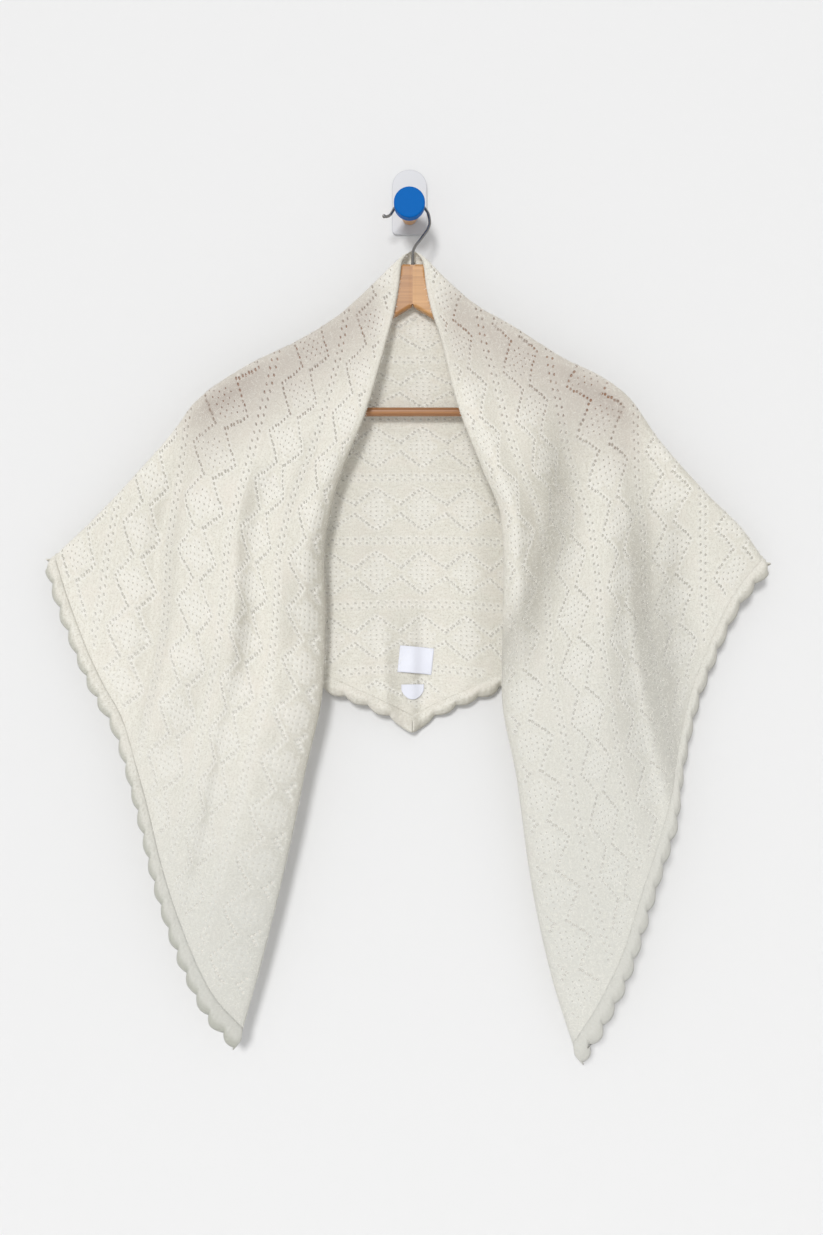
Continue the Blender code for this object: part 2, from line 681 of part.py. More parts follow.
def make_hook(collection):
    """A wire bent to a hook over the peg, its shank straight down into the hanger's head."""
    route = np.array(HOOK_ROUTE)
    steps = np.hypot(*np.diff(route, axis=0).T)
    share = np.concatenate([[0], np.cumsum(steps)]) / steps.sum()
    at = np.linspace(0, 1, HOOK_POINTS)
    curve = bpy.data.curves.new("hanger_hook", "CURVE")
    curve.dimensions = "3D"
    curve.bevel_depth = WIRE_RADIUS
    curve.bevel_resolution = 2
    curve.use_fill_caps = True
    spline = curve.splines.new("POLY")
    spline.points.add(HOOK_POINTS - 1)
    places = zip(spline.points, through(share, route[:, 0], at), through(share, route[:, 1], at))
    for point, x, z in places:
        point.co = (x, -HANGER_DEPTH, z, 1)
    obj = bpy.data.objects.new("hanger_hook", curve)
    curve.materials.append(material("steel_wire"))
    collection.objects.link(obj)


def arm_outline(sign):
    """Half of the hanger: the head's side, the arm's top, its round end and its underside."""
    share = np.linspace(0, 1, 22)
    top = np.stack(place_along(ARM_TOP, share), axis=-1)
    centre, radius = ARM_END["centre"], ARM_END["radius"]
    turns = np.radians(np.linspace(58, -112, 10))
    end = [(centre.out + radius * math.cos(a), centre.z + radius * math.sin(a)) for a in turns]
    under = np.stack(place_along(ARM_UNDER, np.linspace(0, 1, 8)), axis=-1)
    mitre = PIECE_GAP / 2
    outline = [(mitre, ARM_TOP[0].z), *map(tuple, top), *end, *map(tuple, under), (mitre, ARM_APEX.z)]
    return [(HANGER_X + sign * out, z) for out, z in outline]


def make_hanger(collection, cutters):
    half_hole = BAR_HALF_SPAN + BAR_HOLE_CLEARANCE
    bm = bmesh.new()
    radius = BAR_RADIUS + BAR_HOLE_CLEARANCE
    bmesh.ops.create_cone(bm, cap_ends=True, segments=24, radius1=radius, radius2=radius, depth=2 * half_hole)
    along_x = Matrix.Rotation(math.pi / 2, 4, "Y")
    bm.transform(Matrix.Translation((HANGER_X, -HANGER_DEPTH, BAR_HEIGHT)) @ along_x)
    mesh = bpy.data.meshes.new("bar_hole")
    bm.to_mesh(mesh)
    bm.free()
    hole = bpy.data.objects.new("bar_hole", mesh)
    hole.hide_render = True
    hole.display_type = "WIRE"
    cutters.objects.link(hole)

    for side, sign in (("left", -1), ("right", 1)):
        arm = outline_solid(
            f"hanger_arm_{side}",
            arm_outline(sign),
            WOOD_THICKNESS,
            HANGER_DEPTH,
            WOOD_ROUNDING,
            "oiled_beech",
            collection,
        )
        cut = arm.modifiers.new("bar hole", "BOOLEAN")
        cut.operation = "DIFFERENCE"
        cut.object = hole

    bm = bmesh.new()
    bmesh.ops.create_cone(
        bm, cap_ends=True, segments=24, radius1=BAR_RADIUS, radius2=BAR_RADIUS, depth=2 * BAR_HALF_SPAN
    )
    bm.transform(Matrix.Translation((HANGER_X, -HANGER_DEPTH, BAR_HEIGHT)) @ along_x)
    mesh = bpy.data.meshes.new("hanger_bar")
    bm.to_mesh(mesh)
    bm.free()
    add_mesh("hanger_bar", mesh, "oiled_beech", collection)


def main():
    clear_scene()
    part = new_collection("lace_shawl_on_hanger")
    cutters = new_collection("cutters")
    make_wall_plate(part)
    make_peg(part)
    make_hook(part)
    make_hanger(part, cutters)
    make_shawl(part)


main()
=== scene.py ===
# %% [markdown]
# # A knitted lace shawl on a hanger
#
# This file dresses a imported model: a triangular lace shawl that hangs, folded over a wooden clothes
# hanger, from a peg on a wall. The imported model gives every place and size, in metres, with +Z up,
# +X to the viewer's right and +Y into the wall. The shawl's parts are knitted here again as thin
# lace, flat at first and then draped, because cloth is easiest to pattern while it lies flat.

# %% Frame and helpers
import math
from collections import namedtuple

import bmesh
import bpy
import numpy as np
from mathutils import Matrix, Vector


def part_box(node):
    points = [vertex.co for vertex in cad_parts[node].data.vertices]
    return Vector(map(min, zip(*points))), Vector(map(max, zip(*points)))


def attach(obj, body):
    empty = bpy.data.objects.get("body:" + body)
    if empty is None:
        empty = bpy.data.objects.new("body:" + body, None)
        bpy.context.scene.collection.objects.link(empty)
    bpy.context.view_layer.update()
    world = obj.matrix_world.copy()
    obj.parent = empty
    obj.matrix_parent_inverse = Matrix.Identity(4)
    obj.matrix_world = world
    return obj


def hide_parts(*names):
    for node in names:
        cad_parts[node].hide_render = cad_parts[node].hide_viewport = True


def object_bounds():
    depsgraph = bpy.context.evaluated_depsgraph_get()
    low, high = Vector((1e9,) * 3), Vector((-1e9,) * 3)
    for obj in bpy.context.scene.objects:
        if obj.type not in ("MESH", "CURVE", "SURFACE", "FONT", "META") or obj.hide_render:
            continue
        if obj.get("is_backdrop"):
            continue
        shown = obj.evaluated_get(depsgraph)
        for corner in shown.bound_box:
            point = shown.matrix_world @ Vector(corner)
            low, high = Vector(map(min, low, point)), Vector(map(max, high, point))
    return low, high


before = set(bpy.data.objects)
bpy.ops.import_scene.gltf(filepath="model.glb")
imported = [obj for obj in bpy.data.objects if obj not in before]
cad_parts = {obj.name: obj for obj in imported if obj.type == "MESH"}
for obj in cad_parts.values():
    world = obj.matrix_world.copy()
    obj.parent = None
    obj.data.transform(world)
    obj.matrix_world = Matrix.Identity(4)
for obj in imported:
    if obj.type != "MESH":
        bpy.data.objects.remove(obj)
cad_box = [list(corner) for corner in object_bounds()]
print("packed nodes:", ", ".join(sorted(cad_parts)))

MM = 0.001


def colour(hex_code):
    """An sRGB hex colour as linear RGBA."""
    channels = [int(hex_code[i : i + 2], 16) / 255 for i in (1, 3, 5)]
    return (*(c / 12.92 if c <= 0.04045 else ((c + 0.055) / 1.055) ** 2.4 for c in channels), 1)


def add_node(tree, kind, inputs=None, **settings):
    """Adds a node with its settings. An input is a number or the output socket that feeds it."""
    node = tree.nodes.new(kind)
    for name, value in settings.items():
        setattr(node, name, value)
    for name, value in (inputs or {}).items():
        if isinstance(value, bpy.types.NodeSocket):
            tree.links.new(value, node.inputs[name])
        else:
            node.inputs[name].default_value = value
    return node


def new_tree(name, given, made):
    """A Geometry Nodes tree and its inputs. given holds their names and kinds, made names its output."""
    tree = bpy.data.node_groups.new(name, "GeometryNodeTree")
    for socket, kind in given.items():
        tree.interface.new_socket(socket, in_out="INPUT", socket_type="NodeSocket" + kind)
    tree.interface.new_socket(made, in_out="OUTPUT", socket_type="NodeSocketGeometry")
    return tree, add_node(tree, "NodeGroupInput").outputs


def hand_out(tree, node):
    """Makes a node's first output what the tree gives."""
    tree.links.new(node.outputs[0], add_node(tree, "NodeGroupOutput").inputs[0])


def add_piece(name, mesh, finish=None):
    piece = bpy.data.objects.new(name, mesh)
    bpy.context.scene.collection.objects.link(piece)
    if finish:
        mesh.materials.clear()
        mesh.materials.append(finish)
    return piece


def triangles(piece):
    return sum(len(face.vertices) - 2 for face in piece.data.polygons)


def mesh_from(bm, name):
    mesh = bpy.data.meshes.new(name)
    bm.to_mesh(mesh)
    bm.free()
    return mesh


def places_of(mesh):
    places = np.empty(len(mesh.vertices) * 3)
    mesh.vertices.foreach_get("co", places)
    return places.reshape(-1, 3)


def move_to(mesh, places):
    mesh.vertices.foreach_set("co", places.ravel())
    mesh.update()


def vertex_normals(mesh):
    normals = np.empty(len(mesh.vertices) * 3)
    mesh.vertex_normals.foreach_get("vector", normals)
    return normals.reshape(-1, 3)


def store(mesh, name, values):
    """Stores a number with each point of a mesh, for its finish to read."""
    layer = mesh.attributes.get(name) or mesh.attributes.new(name, "FLOAT", "POINT")
    layer.data.foreach_set("value", values)


def store_vectors(mesh, name, vectors):
    mesh.attributes.new(name, "FLOAT_VECTOR", "POINT").data.foreach_set("vector", vectors.ravel())


def on_flat(s, t):
    """Points of the flat shawl as three columns."""
    return np.stack([s, t, 0 * s], axis=1)


def thicken(piece, thickness):
    """Gives a thin piece a wall, half to each side."""
    wall = piece.modifiers.new("thickness", "SOLIDIFY")
    wall.thickness = thickness
    wall.offset = 0


# %% [markdown]
# ## Camera
#
# The camera stands level, a metre and a half from the wall, opposite the middle of the shawl.

# %% Camera
CAMERA_PLACE = (0.0022, -1.5, -0.4558)
SENSOR_HEIGHT = 24.0
LENS = 26.52

camera_data = bpy.data.cameras.new("camera")
camera_data.sensor_fit = "VERTICAL"
camera_data.sensor_height = SENSOR_HEIGHT
camera_data.lens = LENS
camera = bpy.data.objects.new("camera", camera_data)
camera.location = CAMERA_PLACE
camera.rotation_euler = (math.pi / 2, 0, 0)
bpy.context.scene.collection.objects.link(camera)
bpy.context.scene.camera = camera
print("camera at", CAMERA_PLACE, "with a", LENS, "mm lens")

# %% [markdown]
# ## Drape
#
# The flat shawl has two coordinates: s runs along the long edge from the back of the neck, and t from
# the long edge towards the back point. The shawl is folded over each arm of the hanger, along the line
# from the neck to a corner on the short side. These are the same named sizes and short tables that the
# solids were made from, so the thin lace lies in the middle of its solid.

# %% Sizes of the cut
HANGER_X = 0.0034  # the hanger's centre line
HANGER_DEPTH = 0.040  # from the wall to the middle of the hanger
HALF_LENGTH = 0.900  # half the long edge, from the back of the neck to a tip
FLAT_DEPTH = 0.535  # from the long edge to the back point
CORNER_T = 0.308  # where the fold over an arm meets the short side
EDGING_WIDTH = 0.013
SCALLOP_DEPTH = 0.0045
FRONT_SCALLOPS = 22
BACK_SCALLOPS = 16
BLEND = 0.12  # from the fold to where the cloth hangs free of the arm
STRAIGHTEN = 0.10  # over which the cloth regains the length that its turn over the arm takes up

CORNER_S = HALF_LENGTH * (1 - CORNER_T / FLAT_DEPTH)
FOLD_LENGTH = math.hypot(CORNER_S, CORNER_T)
FOLD_COS = CORNER_S / FOLD_LENGTH
FOLD_SIN = CORNER_T / FOLD_LENGTH
SHORT_SIDE = math.hypot(HALF_LENGTH, FLAT_DEPTH)
SHARE_PER_METRE = SHORT_SIDE / (HALF_LENGTH * FLAT_DEPTH)
print(f"flat cut: {2 * HALF_LENGTH:.2f} m by {FLAT_DEPTH:.3f} m, short sides {SHORT_SIDE:.3f} m")


# %% Drape tables
Place = namedtuple("Place", "out z")  # out from the hanger's centre line, and height
Shoulder = namedtuple("Shoulder", "along depth radius")  # of the cloth's fold, along it from the neck
FrontHang = namedtuple("FrontHang", "run inner middle outer")  # depth below the fold, down each line
BackHang = namedtuple("BackHang", "t depth")
# A fold starts at t_top and run_top and ends at t_low and run_low. A run is a length down from the fold
# over the arm, measured along the long edge. In the back, t_top and t_low are places along s, and the
# run is t.
Fold = namedtuple("Fold", "side shape t_top t_low run_top run_low half_width height")
LeeShadow = namedtuple("LeeShadow", "side t_top t_low run_top run_low reach share")  # painted shadow behind a fold
Roll = namedtuple("Roll", "run width back")  # how the front's long edge turns towards the wall

NECK = Place(0.0, -0.0610)
POINT = Place(0.0, -0.5770)

TOP_LINE = {
    "left": [
        NECK,
        Place(0.0060, -0.0660),
        Place(0.0425, -0.1010),
        Place(0.0777, -0.1322),
        Place(0.1226, -0.1600),
        Place(0.1633, -0.1792),
        Place(0.2082, -0.2060),
        Place(0.2329, -0.2263),
        Place(0.2543, -0.2552),
        Place(0.2906, -0.2959),
        Place(0.3473, -0.3536),
        Place(0.3950, -0.3976),
    ],
    "right": [
        NECK,
        Place(0.0060, -0.0660),
        Place(0.0345, -0.0945),
        Place(0.0646, -0.1200),
        Place(0.1095, -0.1460),
        Place(0.1588, -0.1771),
        Place(0.2037, -0.1996),
        Place(0.2283, -0.2178),
        Place(0.2647, -0.2670),
        Place(0.3139, -0.3205),
        Place(0.3556, -0.3611),
        Place(0.3850, -0.4019),
    ],
}
INNER_EDGE = {
    "left": [
        NECK,
        Place(0.0045, -0.0645),
        Place(0.0065, -0.0760),
        Place(0.0085, -0.0920),
        Place(0.0150, -0.1250),
        Place(0.0225, -0.1514),
        Place(0.0483, -0.2371),
        Place(0.0822, -0.3314),
        Place(0.0920, -0.3949),
        Place(0.0905, -0.4373),
        Place(0.0928, -0.5220),
        Place(0.1140, -0.6279),
        Place(0.1288, -0.6989),
        Place(0.1585, -0.8207),
        Place(0.1873, -0.9220),
    ],
    "right": [
        NECK,
        Place(0.0045, -0.0645),
        Place(0.0065, -0.0770),
        Place(0.0090, -0.0950),
        Place(0.0165, -0.1250),
        Place(0.0260, -0.1514),
        Place(0.0480, -0.2371),
        Place(0.0713, -0.2996),
        Place(0.0910, -0.3526),
        Place(0.0945, -0.4200),
        Place(0.0930, -0.5326),
        Place(0.1095, -0.6279),
        Place(0.1253, -0.7391),
        Place(0.1465, -0.8376),
        Place(0.1785, -0.9390),
    ],
}
OUTER_EDGE = {
    "left": [
        Place(0.1873, -0.9220),
        Place(0.2220, -0.8780),
        Place(0.2560, -0.8000),
        Place(0.2760, -0.7357),
        Place(0.2910, -0.6718),
        Place(0.3060, -0.6180),
        Place(0.3210, -0.5750),
        Place(0.3410, -0.5400),
        Place(0.3632, -0.4926),
        Place(0.3814, -0.4435),
        Place(0.3950, -0.3976),
    ],
    "right": [
        Place(0.1785, -0.9390),
        Place(0.2050, -0.8930),
        Place(0.2300, -0.8400),
        Place(0.2540, -0.7620),
        Place(0.2720, -0.7070),
        Place(0.2840, -0.6640),
        Place(0.2950, -0.6070),
        Place(0.3070, -0.5530),
        Place(0.3280, -0.4980),
        Place(0.3534, -0.4414),
        Place(0.3850, -0.4019),
    ],
}
SHOULDER = [
    Shoulder(0.000, depth=0.0345, radius=0.0060),
    Shoulder(0.025, depth=0.0395, radius=0.0085),
    Shoulder(0.270, depth=0.0400, radius=0.0085),
    Shoulder(0.340, depth=0.0370, radius=0.0090),
    Shoulder(0.420, depth=0.0300, radius=0.0080),
    Shoulder(0.491, depth=0.0250, radius=0.0060),
]
FRONT_HANG = {
    "left": [
        FrontHang(0.00, inner=0.050, middle=0.049, outer=0.042),
        FrontHang(0.15, inner=0.054, middle=0.052, outer=0.040),
        FrontHang(0.35, inner=0.058, middle=0.053, outer=0.038),
        FrontHang(0.60, inner=0.055, middle=0.051, outer=0.038),
        FrontHang(0.90, inner=0.044, middle=0.044, outer=0.040),
    ],
    "right": [
        FrontHang(0.00, inner=0.050, middle=0.049, outer=0.042),
        FrontHang(0.15, inner=0.056, middle=0.052, outer=0.041),
        FrontHang(0.35, inner=0.059, middle=0.052, outer=0.040),
        FrontHang(0.60, inner=0.054, middle=0.050, outer=0.040),
        FrontHang(0.90, inner=0.042, middle=0.042, outer=0.040),
    ],
}
BACK_HANG = [
    BackHang(0.00, depth=0.030),
    BackHang(0.10, depth=0.029),
    BackHang(0.20, depth=0.026),
    BackHang(0.30, depth=0.022),
    BackHang(0.42, depth=0.018),
    BackHang(0.54, depth=0.017),
]
MIDDLE_SHARE = 0.45  # where the middle column of FRONT_HANG lies, from the long edge to the corner
NARROWEST = 0.2  # of the back's width at the corners, below which its rows no longer bend more
FOLD_FADE = 0.3  # share of a fold's length over which it rises, and over which it dies away
# A step stands forward on the side of the long edge and falls back on the other.
FOLDS = [
    Fold("left", "step", 0.150, 0.172, 0.03, 0.42, half_width=0.022, height=0.010),
    Fold("left", "ridge", 0.182, 0.176, 0.05, 0.34, half_width=0.014, height=-0.005),
    Fold("left", "ridge", 0.082, 0.066, 0.12, 0.42, half_width=0.013, height=-0.004),
    Fold("left", "ridge", 0.108, 0.068, 0.20, 0.58, half_width=0.018, height=0.004),
    Fold("left", "ridge", 0.046, 0.040, 0.22, 0.75, half_width=0.016, height=0.004),
    Fold("right", "ridge", 0.030, 0.010, 0.10, 0.46, half_width=0.016, height=0.005),
    Fold("right", "step", 0.110, 0.010, 0.06, 0.44, half_width=0.015, height=0.010),
    Fold("right", "ridge", 0.140, 0.078, 0.10, 0.50, half_width=0.018, height=0.003),
    Fold("right", "step", 0.158, 0.112, 0.02, 0.60, half_width=0.016, height=0.013),
    Fold("right", "ridge", 0.232, 0.212, 0.04, 0.20, half_width=0.018, height=-0.003),
]
BACK_FOLDS = [
    Fold("back", "ridge", 0.004, 0.000, 0.37, 0.60, half_width=0.026, height=-0.006),
    Fold("back", "ridge", -0.066, -0.050, 0.22, 0.56, half_width=0.024, height=0.003),
    Fold("back", "ridge", 0.068, 0.052, 0.24, 0.56, half_width=0.024, height=0.003),
]
# The lace is softer than the solids, so some of its folds break more sharply.
CREASES = [
    Fold("right", "step", 0.118, -0.045, 0.03, 0.50, half_width=0.0120, height=0.013),
    Fold("right", "ridge", 0.164, 0.154, 0.02, 0.64, half_width=0.0170, height=0.006),
    Fold("right", "ridge", 0.205, 0.170, 0.04, 0.36, half_width=0.0100, height=0.003),
    Fold("left", "step", 0.152, 0.172, 0.03, 0.42, half_width=0.0090, height=0.006),
    Fold("left", "ridge", 0.108, 0.070, 0.08, 0.50, half_width=0.0080, height=0.003),
    Fold("left", "step", 0.058, 0.046, 0.04, 0.40, half_width=0.0100, height=-0.004),
    Fold("left", "ridge", 0.082, 0.066, 0.30, 0.70, half_width=0.0080, height=-0.003),
]
BACK_CREASES = [
    Fold("back", "step", 0.006, 0.003, 0.38, 0.66, half_width=0.0050, height=0.006),
    Fold("back", "ridge", -0.030, -0.024, 0.40, 0.60, half_width=0.0080, height=0.002),
]
# Painted shadows behind the deep folds, two on the right front and a faint one on the left.
LEE_SHADOWS = [
    LeeShadow("right", 0.123, -0.038, 0.03, 0.58, reach=0.032, share=0.60),
    LeeShadow("right", 0.156, 0.152, 0.02, 0.76, reach=0.085, share=0.72),
    LeeShadow("left", 0.160, 0.176, 0.04, 0.42, reach=0.020, share=0.15),
]
ROLL = [
    Roll(0.00, width=0.022, back=0.000),
    Roll(0.12, width=0.022, back=0.000),
    Roll(0.19, width=0.022, back=0.001),
    Roll(0.26, width=0.022, back=0.008),
    Roll(0.36, width=0.024, back=0.014),
    Roll(0.62, width=0.028, back=0.012),
    Roll(0.90, width=0.040, back=0.008),
]
print("folds:", len(FOLDS) + len(BACK_FOLDS), "and sharper creases:", len(CREASES) + len(BACK_CREASES))


# %% Drape functions
def through(knots, values, at):
    """A smooth curve through values given at knots, read at other places. It never swings past them."""
    knots, values, at = (np.asarray(numbers, float) for numbers in (knots, values, at))
    chords = np.diff(values) / np.diff(knots)
    before, after = chords[:-1], chords[1:]
    same_way = before * after > 0
    mean = 2 * before * after / np.where(same_way, before + after, 1)
    slopes = np.concatenate([chords[:1], np.where(same_way, mean, 0), chords[-1:]])
    first = np.clip(np.searchsorted(knots, at) - 1, 0, len(knots) - 2)
    width = knots[first + 1] - knots[first]
    f = np.clip((at - knots[first]) / width, 0, 1)
    rise = 3 * f**2 - 2 * f**3
    leaving = (f**3 - 2 * f**2 + f) * slopes[first]
    arriving = (f**3 - f**2) * slopes[first + 1]
    return (1 - rise) * values[first] + rise * values[first + 1] + width * (leaving + arriving)


def column(rows, key, name, at):
    """One named column of a table, read smoothly at places along its key column."""
    return through([getattr(row, key) for row in rows], [getattr(row, name) for row in rows], at)


def smooth_step(f):
    f = np.clip(f, 0, 1)
    return f * f * (3 - 2 * f)


def stray(places, share):
    """How far a run of places lies from the straight line between its ends, at a share of its length."""
    out = np.array([place.out for place in places])
    z = np.array([place.z for place in places])
    steps = np.hypot(np.diff(out), np.diff(z))
    shares = np.concatenate([[0], np.cumsum(steps)]) / steps.sum()
    share = np.clip(share, 0, 1)
    return (
        through(shares, out, share) - (out[0] + (out[-1] - out[0]) * share),
        through(shares, z, share) - (z[0] + (z[-1] - z[0]) * share),
    )


def place_along(places, share):
    """The place at a share of the length of a run of places."""
    straight_out = places[0].out + (places[-1].out - places[0].out) * share
    straight_z = places[0].z + (places[-1].z - places[0].z) * share
    out, z = stray(places, share)
    return straight_out + out, straight_z + z


def over_the_arm(from_fold, radius):
    """Where a point of the cloth shows below the fold's top line, and how far it stands off its plane."""
    turn = np.minimum(from_fold / radius, math.pi / 2)
    beyond = np.maximum(from_fold - radius * math.pi / 2, 0)
    regained = radius * (math.pi / 2 - 1) * smooth_step(beyond / STRAIGHTEN)
    return radius * (1 - np.cos(turn)) + beyond + regained, radius * np.sin(turn)


def along_fold(fold, across, run):
    """How strong a fold is at a place, and how far across it the place lies from its middle."""
    share = (run - fold.run_top) / (fold.run_low - fold.run_top)
    strength = smooth_step(share / FOLD_FADE) * smooth_step((1 - share) / FOLD_FADE)
    middle = fold.t_top + (fold.t_low - fold.t_top) * np.clip(share, 0, 1)
    return strength, across - middle


def fold_height(folds, side, across, run):
    """The folds' height towards the viewer, at a place across them and a run down them."""
    height = np.zeros_like(across)
    for fold in folds:
        if fold.side != side:
            continue
        strength, off_middle = along_fold(fold, across, run)
        off = off_middle / fold.half_width
        shape = np.exp(-(off**2)) if fold.shape == "ridge" else -0.5 * np.tanh(off)
        height += fold.height * strength * shape
    return height


def front_point(side, s, t):
    """A flat point of the front, as world x, y and z."""
    from_fold = np.maximum(s * FOLD_SIN - t * FOLD_COS, 0)
    along = np.clip(s * FOLD_COS + t * FOLD_SIN, 0, FOLD_LENGTH)
    seen, lift = over_the_arm(from_fold, column(SHOULDER, "along", "radius", along))
    seen_s = s + (seen - from_fold) * FOLD_SIN
    seen_t = t - (seen - from_fold) * FOLD_COS

    to_corner = seen_t / CORNER_T
    to_tip = (seen_s - CORNER_S * to_corner) / HALF_LENGTH
    to_neck = 1 - to_corner - to_tip
    tiny = 1e-9
    strays = [
        ((1 - to_tip) ** 2, stray(TOP_LINE[side], to_corner / np.maximum(to_neck + to_corner, tiny))),
        ((1 - to_corner) ** 2, stray(INNER_EDGE[side], to_tip / np.maximum(to_neck + to_tip, tiny))),
        ((1 - to_neck) ** 2, stray(OUTER_EDGE[side], to_corner / np.maximum(to_corner + to_tip, tiny))),
    ]
    corner, tip = TOP_LINE[side][-1], INNER_EDGE[side][-1]
    out = to_neck * NECK.out + to_corner * corner.out + to_tip * tip.out
    z = to_neck * NECK.z + to_corner * corner.z + to_tip * tip.z
    for weight, (stray_out, stray_z) in strays:
        out = out + weight * stray_out
        z = z + weight * stray_z

    run = np.clip(s - CORNER_S * t / CORNER_T, 0, HALF_LENGTH)
    share = np.clip(t / CORNER_T, 0, 1)
    inner, middle, outer = (column(FRONT_HANG[side], "run", name, run) for name in FrontHang._fields[1:])
    hang = (
        inner * (1 - share) * (1 - share / MIDDLE_SHARE)
        + middle * share * (1 - share) / (MIDDLE_SHARE * (1 - MIDDLE_SHARE))
        + outer * share * (share - MIDDLE_SHARE) / (1 - MIDDLE_SHARE)
    )
    on_arm = column(SHOULDER, "along", "depth", along) + lift
    depth = on_arm + (hang - on_arm) * smooth_step(from_fold / BLEND)
    depth = depth + fold_height(FOLDS + CREASES, side, t, run)
    width = column(ROLL, "run", "width", run)
    depth = depth - column(ROLL, "run", "back", run) * np.clip(1 - t / width, 0, 1) ** 2
    return HANGER_X + (-out if side == "left" else out), -depth, z


def back_point(s, t):
    """A flat point of the back, as world x, y and z."""
    from_fold = np.maximum(t * FOLD_COS - np.abs(s) * FOLD_SIN, 0)
    along = np.clip(np.abs(s) * FOLD_COS + t * FOLD_SIN, 0, FOLD_LENGTH)
    seen, lift = over_the_arm(from_fold, column(SHOULDER, "along", "radius", along))
    seen_s = s + np.sign(s) * (from_fold - seen) * FOLD_SIN
    seen_t = t - (from_fold - seen) * FOLD_COS

    middle_z = NECK.z + (POINT.z - NECK.z) * seen_t / FLAT_DEPTH
    above = np.clip(seen_t / CORNER_T, 1e-5, 1)
    below = np.clip((seen_t - CORNER_T) / (FLAT_DEPTH - CORNER_T), 0, 1)
    out_and_droop = []
    for side in ("left", "right"):
        edge_out, edge_z = place_along(TOP_LINE[side], above)
        fall = edge_z - (NECK.z + (POINT.z - NECK.z) * above * CORNER_T / FLAT_DEPTH)
        fall = fall / (above**2 * np.maximum(1 - below, NARROWEST))
        out_and_droop.append((edge_out / above, fall))
    out = np.where(s < 0, out_and_droop[0][0], out_and_droop[1][0]) * seen_s / CORNER_S
    droop = np.where(s < 0, out_and_droop[0][1], out_and_droop[1][1]) * (seen_s / CORNER_S) ** 2

    hang = column(BACK_HANG, "t", "depth", t)
    on_arm = column(SHOULDER, "along", "depth", along) - lift
    depth = on_arm + (hang - on_arm) * smooth_step(from_fold / BLEND)
    depth = depth + fold_height(BACK_FOLDS + BACK_CREASES, "back", s, t)
    return HANGER_X + out, -depth, middle_z + droop


tip_x, tip_y, tip_z = front_point("right", np.array([HALF_LENGTH]), np.array([0.0]))
print(f"the right tip hangs at {tip_x[0]:.3f}, {tip_y[0]:.3f}, {tip_z[0]:.3f}")


# %% [markdown]
# ## Yarn
#
# The shawl is brushed wool, ivory with a warm cast: a rough, matt yarn whose fine hairs catch light at
# grazing angles, which a sheen layer gives. The pattern follows the cloth through a stored attribute, the
# flat place of each point in metres, so stitches keep their size and direction in every fold. Brushing
# runs the stitches together, so they are drawn as soft streaks 7 mm long, about one to a row. Painted
# shade darkens the cloth where it faces away from the upper left, and a painted shadow lies behind each
# deep fold. Where it lies on the hanger, the wood shows through and darkens it, and painted shade dims
# the cloth that hangs just below an arm. Painted shade greys the fronts towards their ends and darkens
# the edging's rims where they turn under. The stitches that ring an eyelet stand up and carry a painted
# highlight.

# %% Yarn materials
def stored(tree, name, output="Fac"):
    """What is stored with each point of the cloth under a name."""
    return add_node(tree, "ShaderNodeAttribute", attribute_name=name).outputs[output]


def scaled(tree, vector, scale):
    return add_node(tree, "ShaderNodeMapping", {"Vector": vector, "Scale": scale}).outputs[0]


def noise(tree, place, scale, detail=2.0, roughness=0.5):
    settings = {"Vector": place, "Scale": scale, "Detail": detail, "Roughness": roughness}
    return add_node(tree, "ShaderNodeTexNoise", settings).outputs["Fac"]


def mixed(tree, share, first, second):
    """A blend of two colours, each an RGBA value or a socket."""
    node = add_node(tree, "ShaderNodeMix", {0: share}, data_type="RGBA")
    for socket, value in ((6, first), (7, second)):
        if isinstance(value, bpy.types.NodeSocket):
            tree.links.new(value, node.inputs[socket])
        else:
            node.inputs[socket].default_value = value
    return node.outputs[2]


def ramped(tree, value, low, high):
    """0 at low, 1 at high."""
    return add_node(
        tree, "ShaderNodeMapRange", {"Value": value, "From Min": low, "From Max": high}, clamp=True
    ).outputs[0]


def reckoned(tree, operation, *values):
    """A sum worked out from numbers or sockets."""
    return add_node(tree, "ShaderNodeMath", dict(enumerate(values)), operation=operation).outputs[0]


def new_finish(name, roughness, metallic=0.0):
    finish = bpy.data.materials.new(name)
    finish.use_nodes = True
    tree = finish.node_tree
    shader = tree.nodes["Principled BSDF"]
    shader.inputs["Roughness"].default_value = roughness
    shader.inputs["Metallic"].default_value = metallic
    return finish, tree, shader


def add_bump(tree, shader, height, strength, depth):
    bump = add_node(tree, "ShaderNodeBump", {"Height": height, "Strength": strength, "Distance": depth})
    tree.links.new(bump.outputs[0], shader.inputs["Normal"])


def show_both(tree, share, first, second):
    """Shows one shader with a share of another."""
    both = add_node(tree, "ShaderNodeMixShader", {0: share, 1: first.outputs[0], 2: second.outputs[0]})
    tree.links.new(both.outputs[0], tree.nodes["Material Output"].inputs["Surface"])


LIGHT_THROUGH = 0.16  # share of the light that comes through the cloth
PAINTED_SHADE_LIGHT = (-0.85, -0.2, 0.48)  # the way from which the painted shade takes its light: cloth facing away is painted darker
SPECK = colour("#D6D2C5")
WARM_PATCH = colour("#F2EBE1")
# painted shade where the cloth faces away from the upper left
FACING_AWAY_SHADE = colour("#BBB7AA")
# painted highlight on the raised stitches round an eyelet
EYELET_RIM_HIGHLIGHT = colour("#FFFEFA")
# painted shadow behind a deep fold
PAINTED_FOLD_SHADOW = colour("#A9A59A")
# painted shade towards the fronts' tips
PAINTED_TIP_SHADE = colour("#D2D3CE")
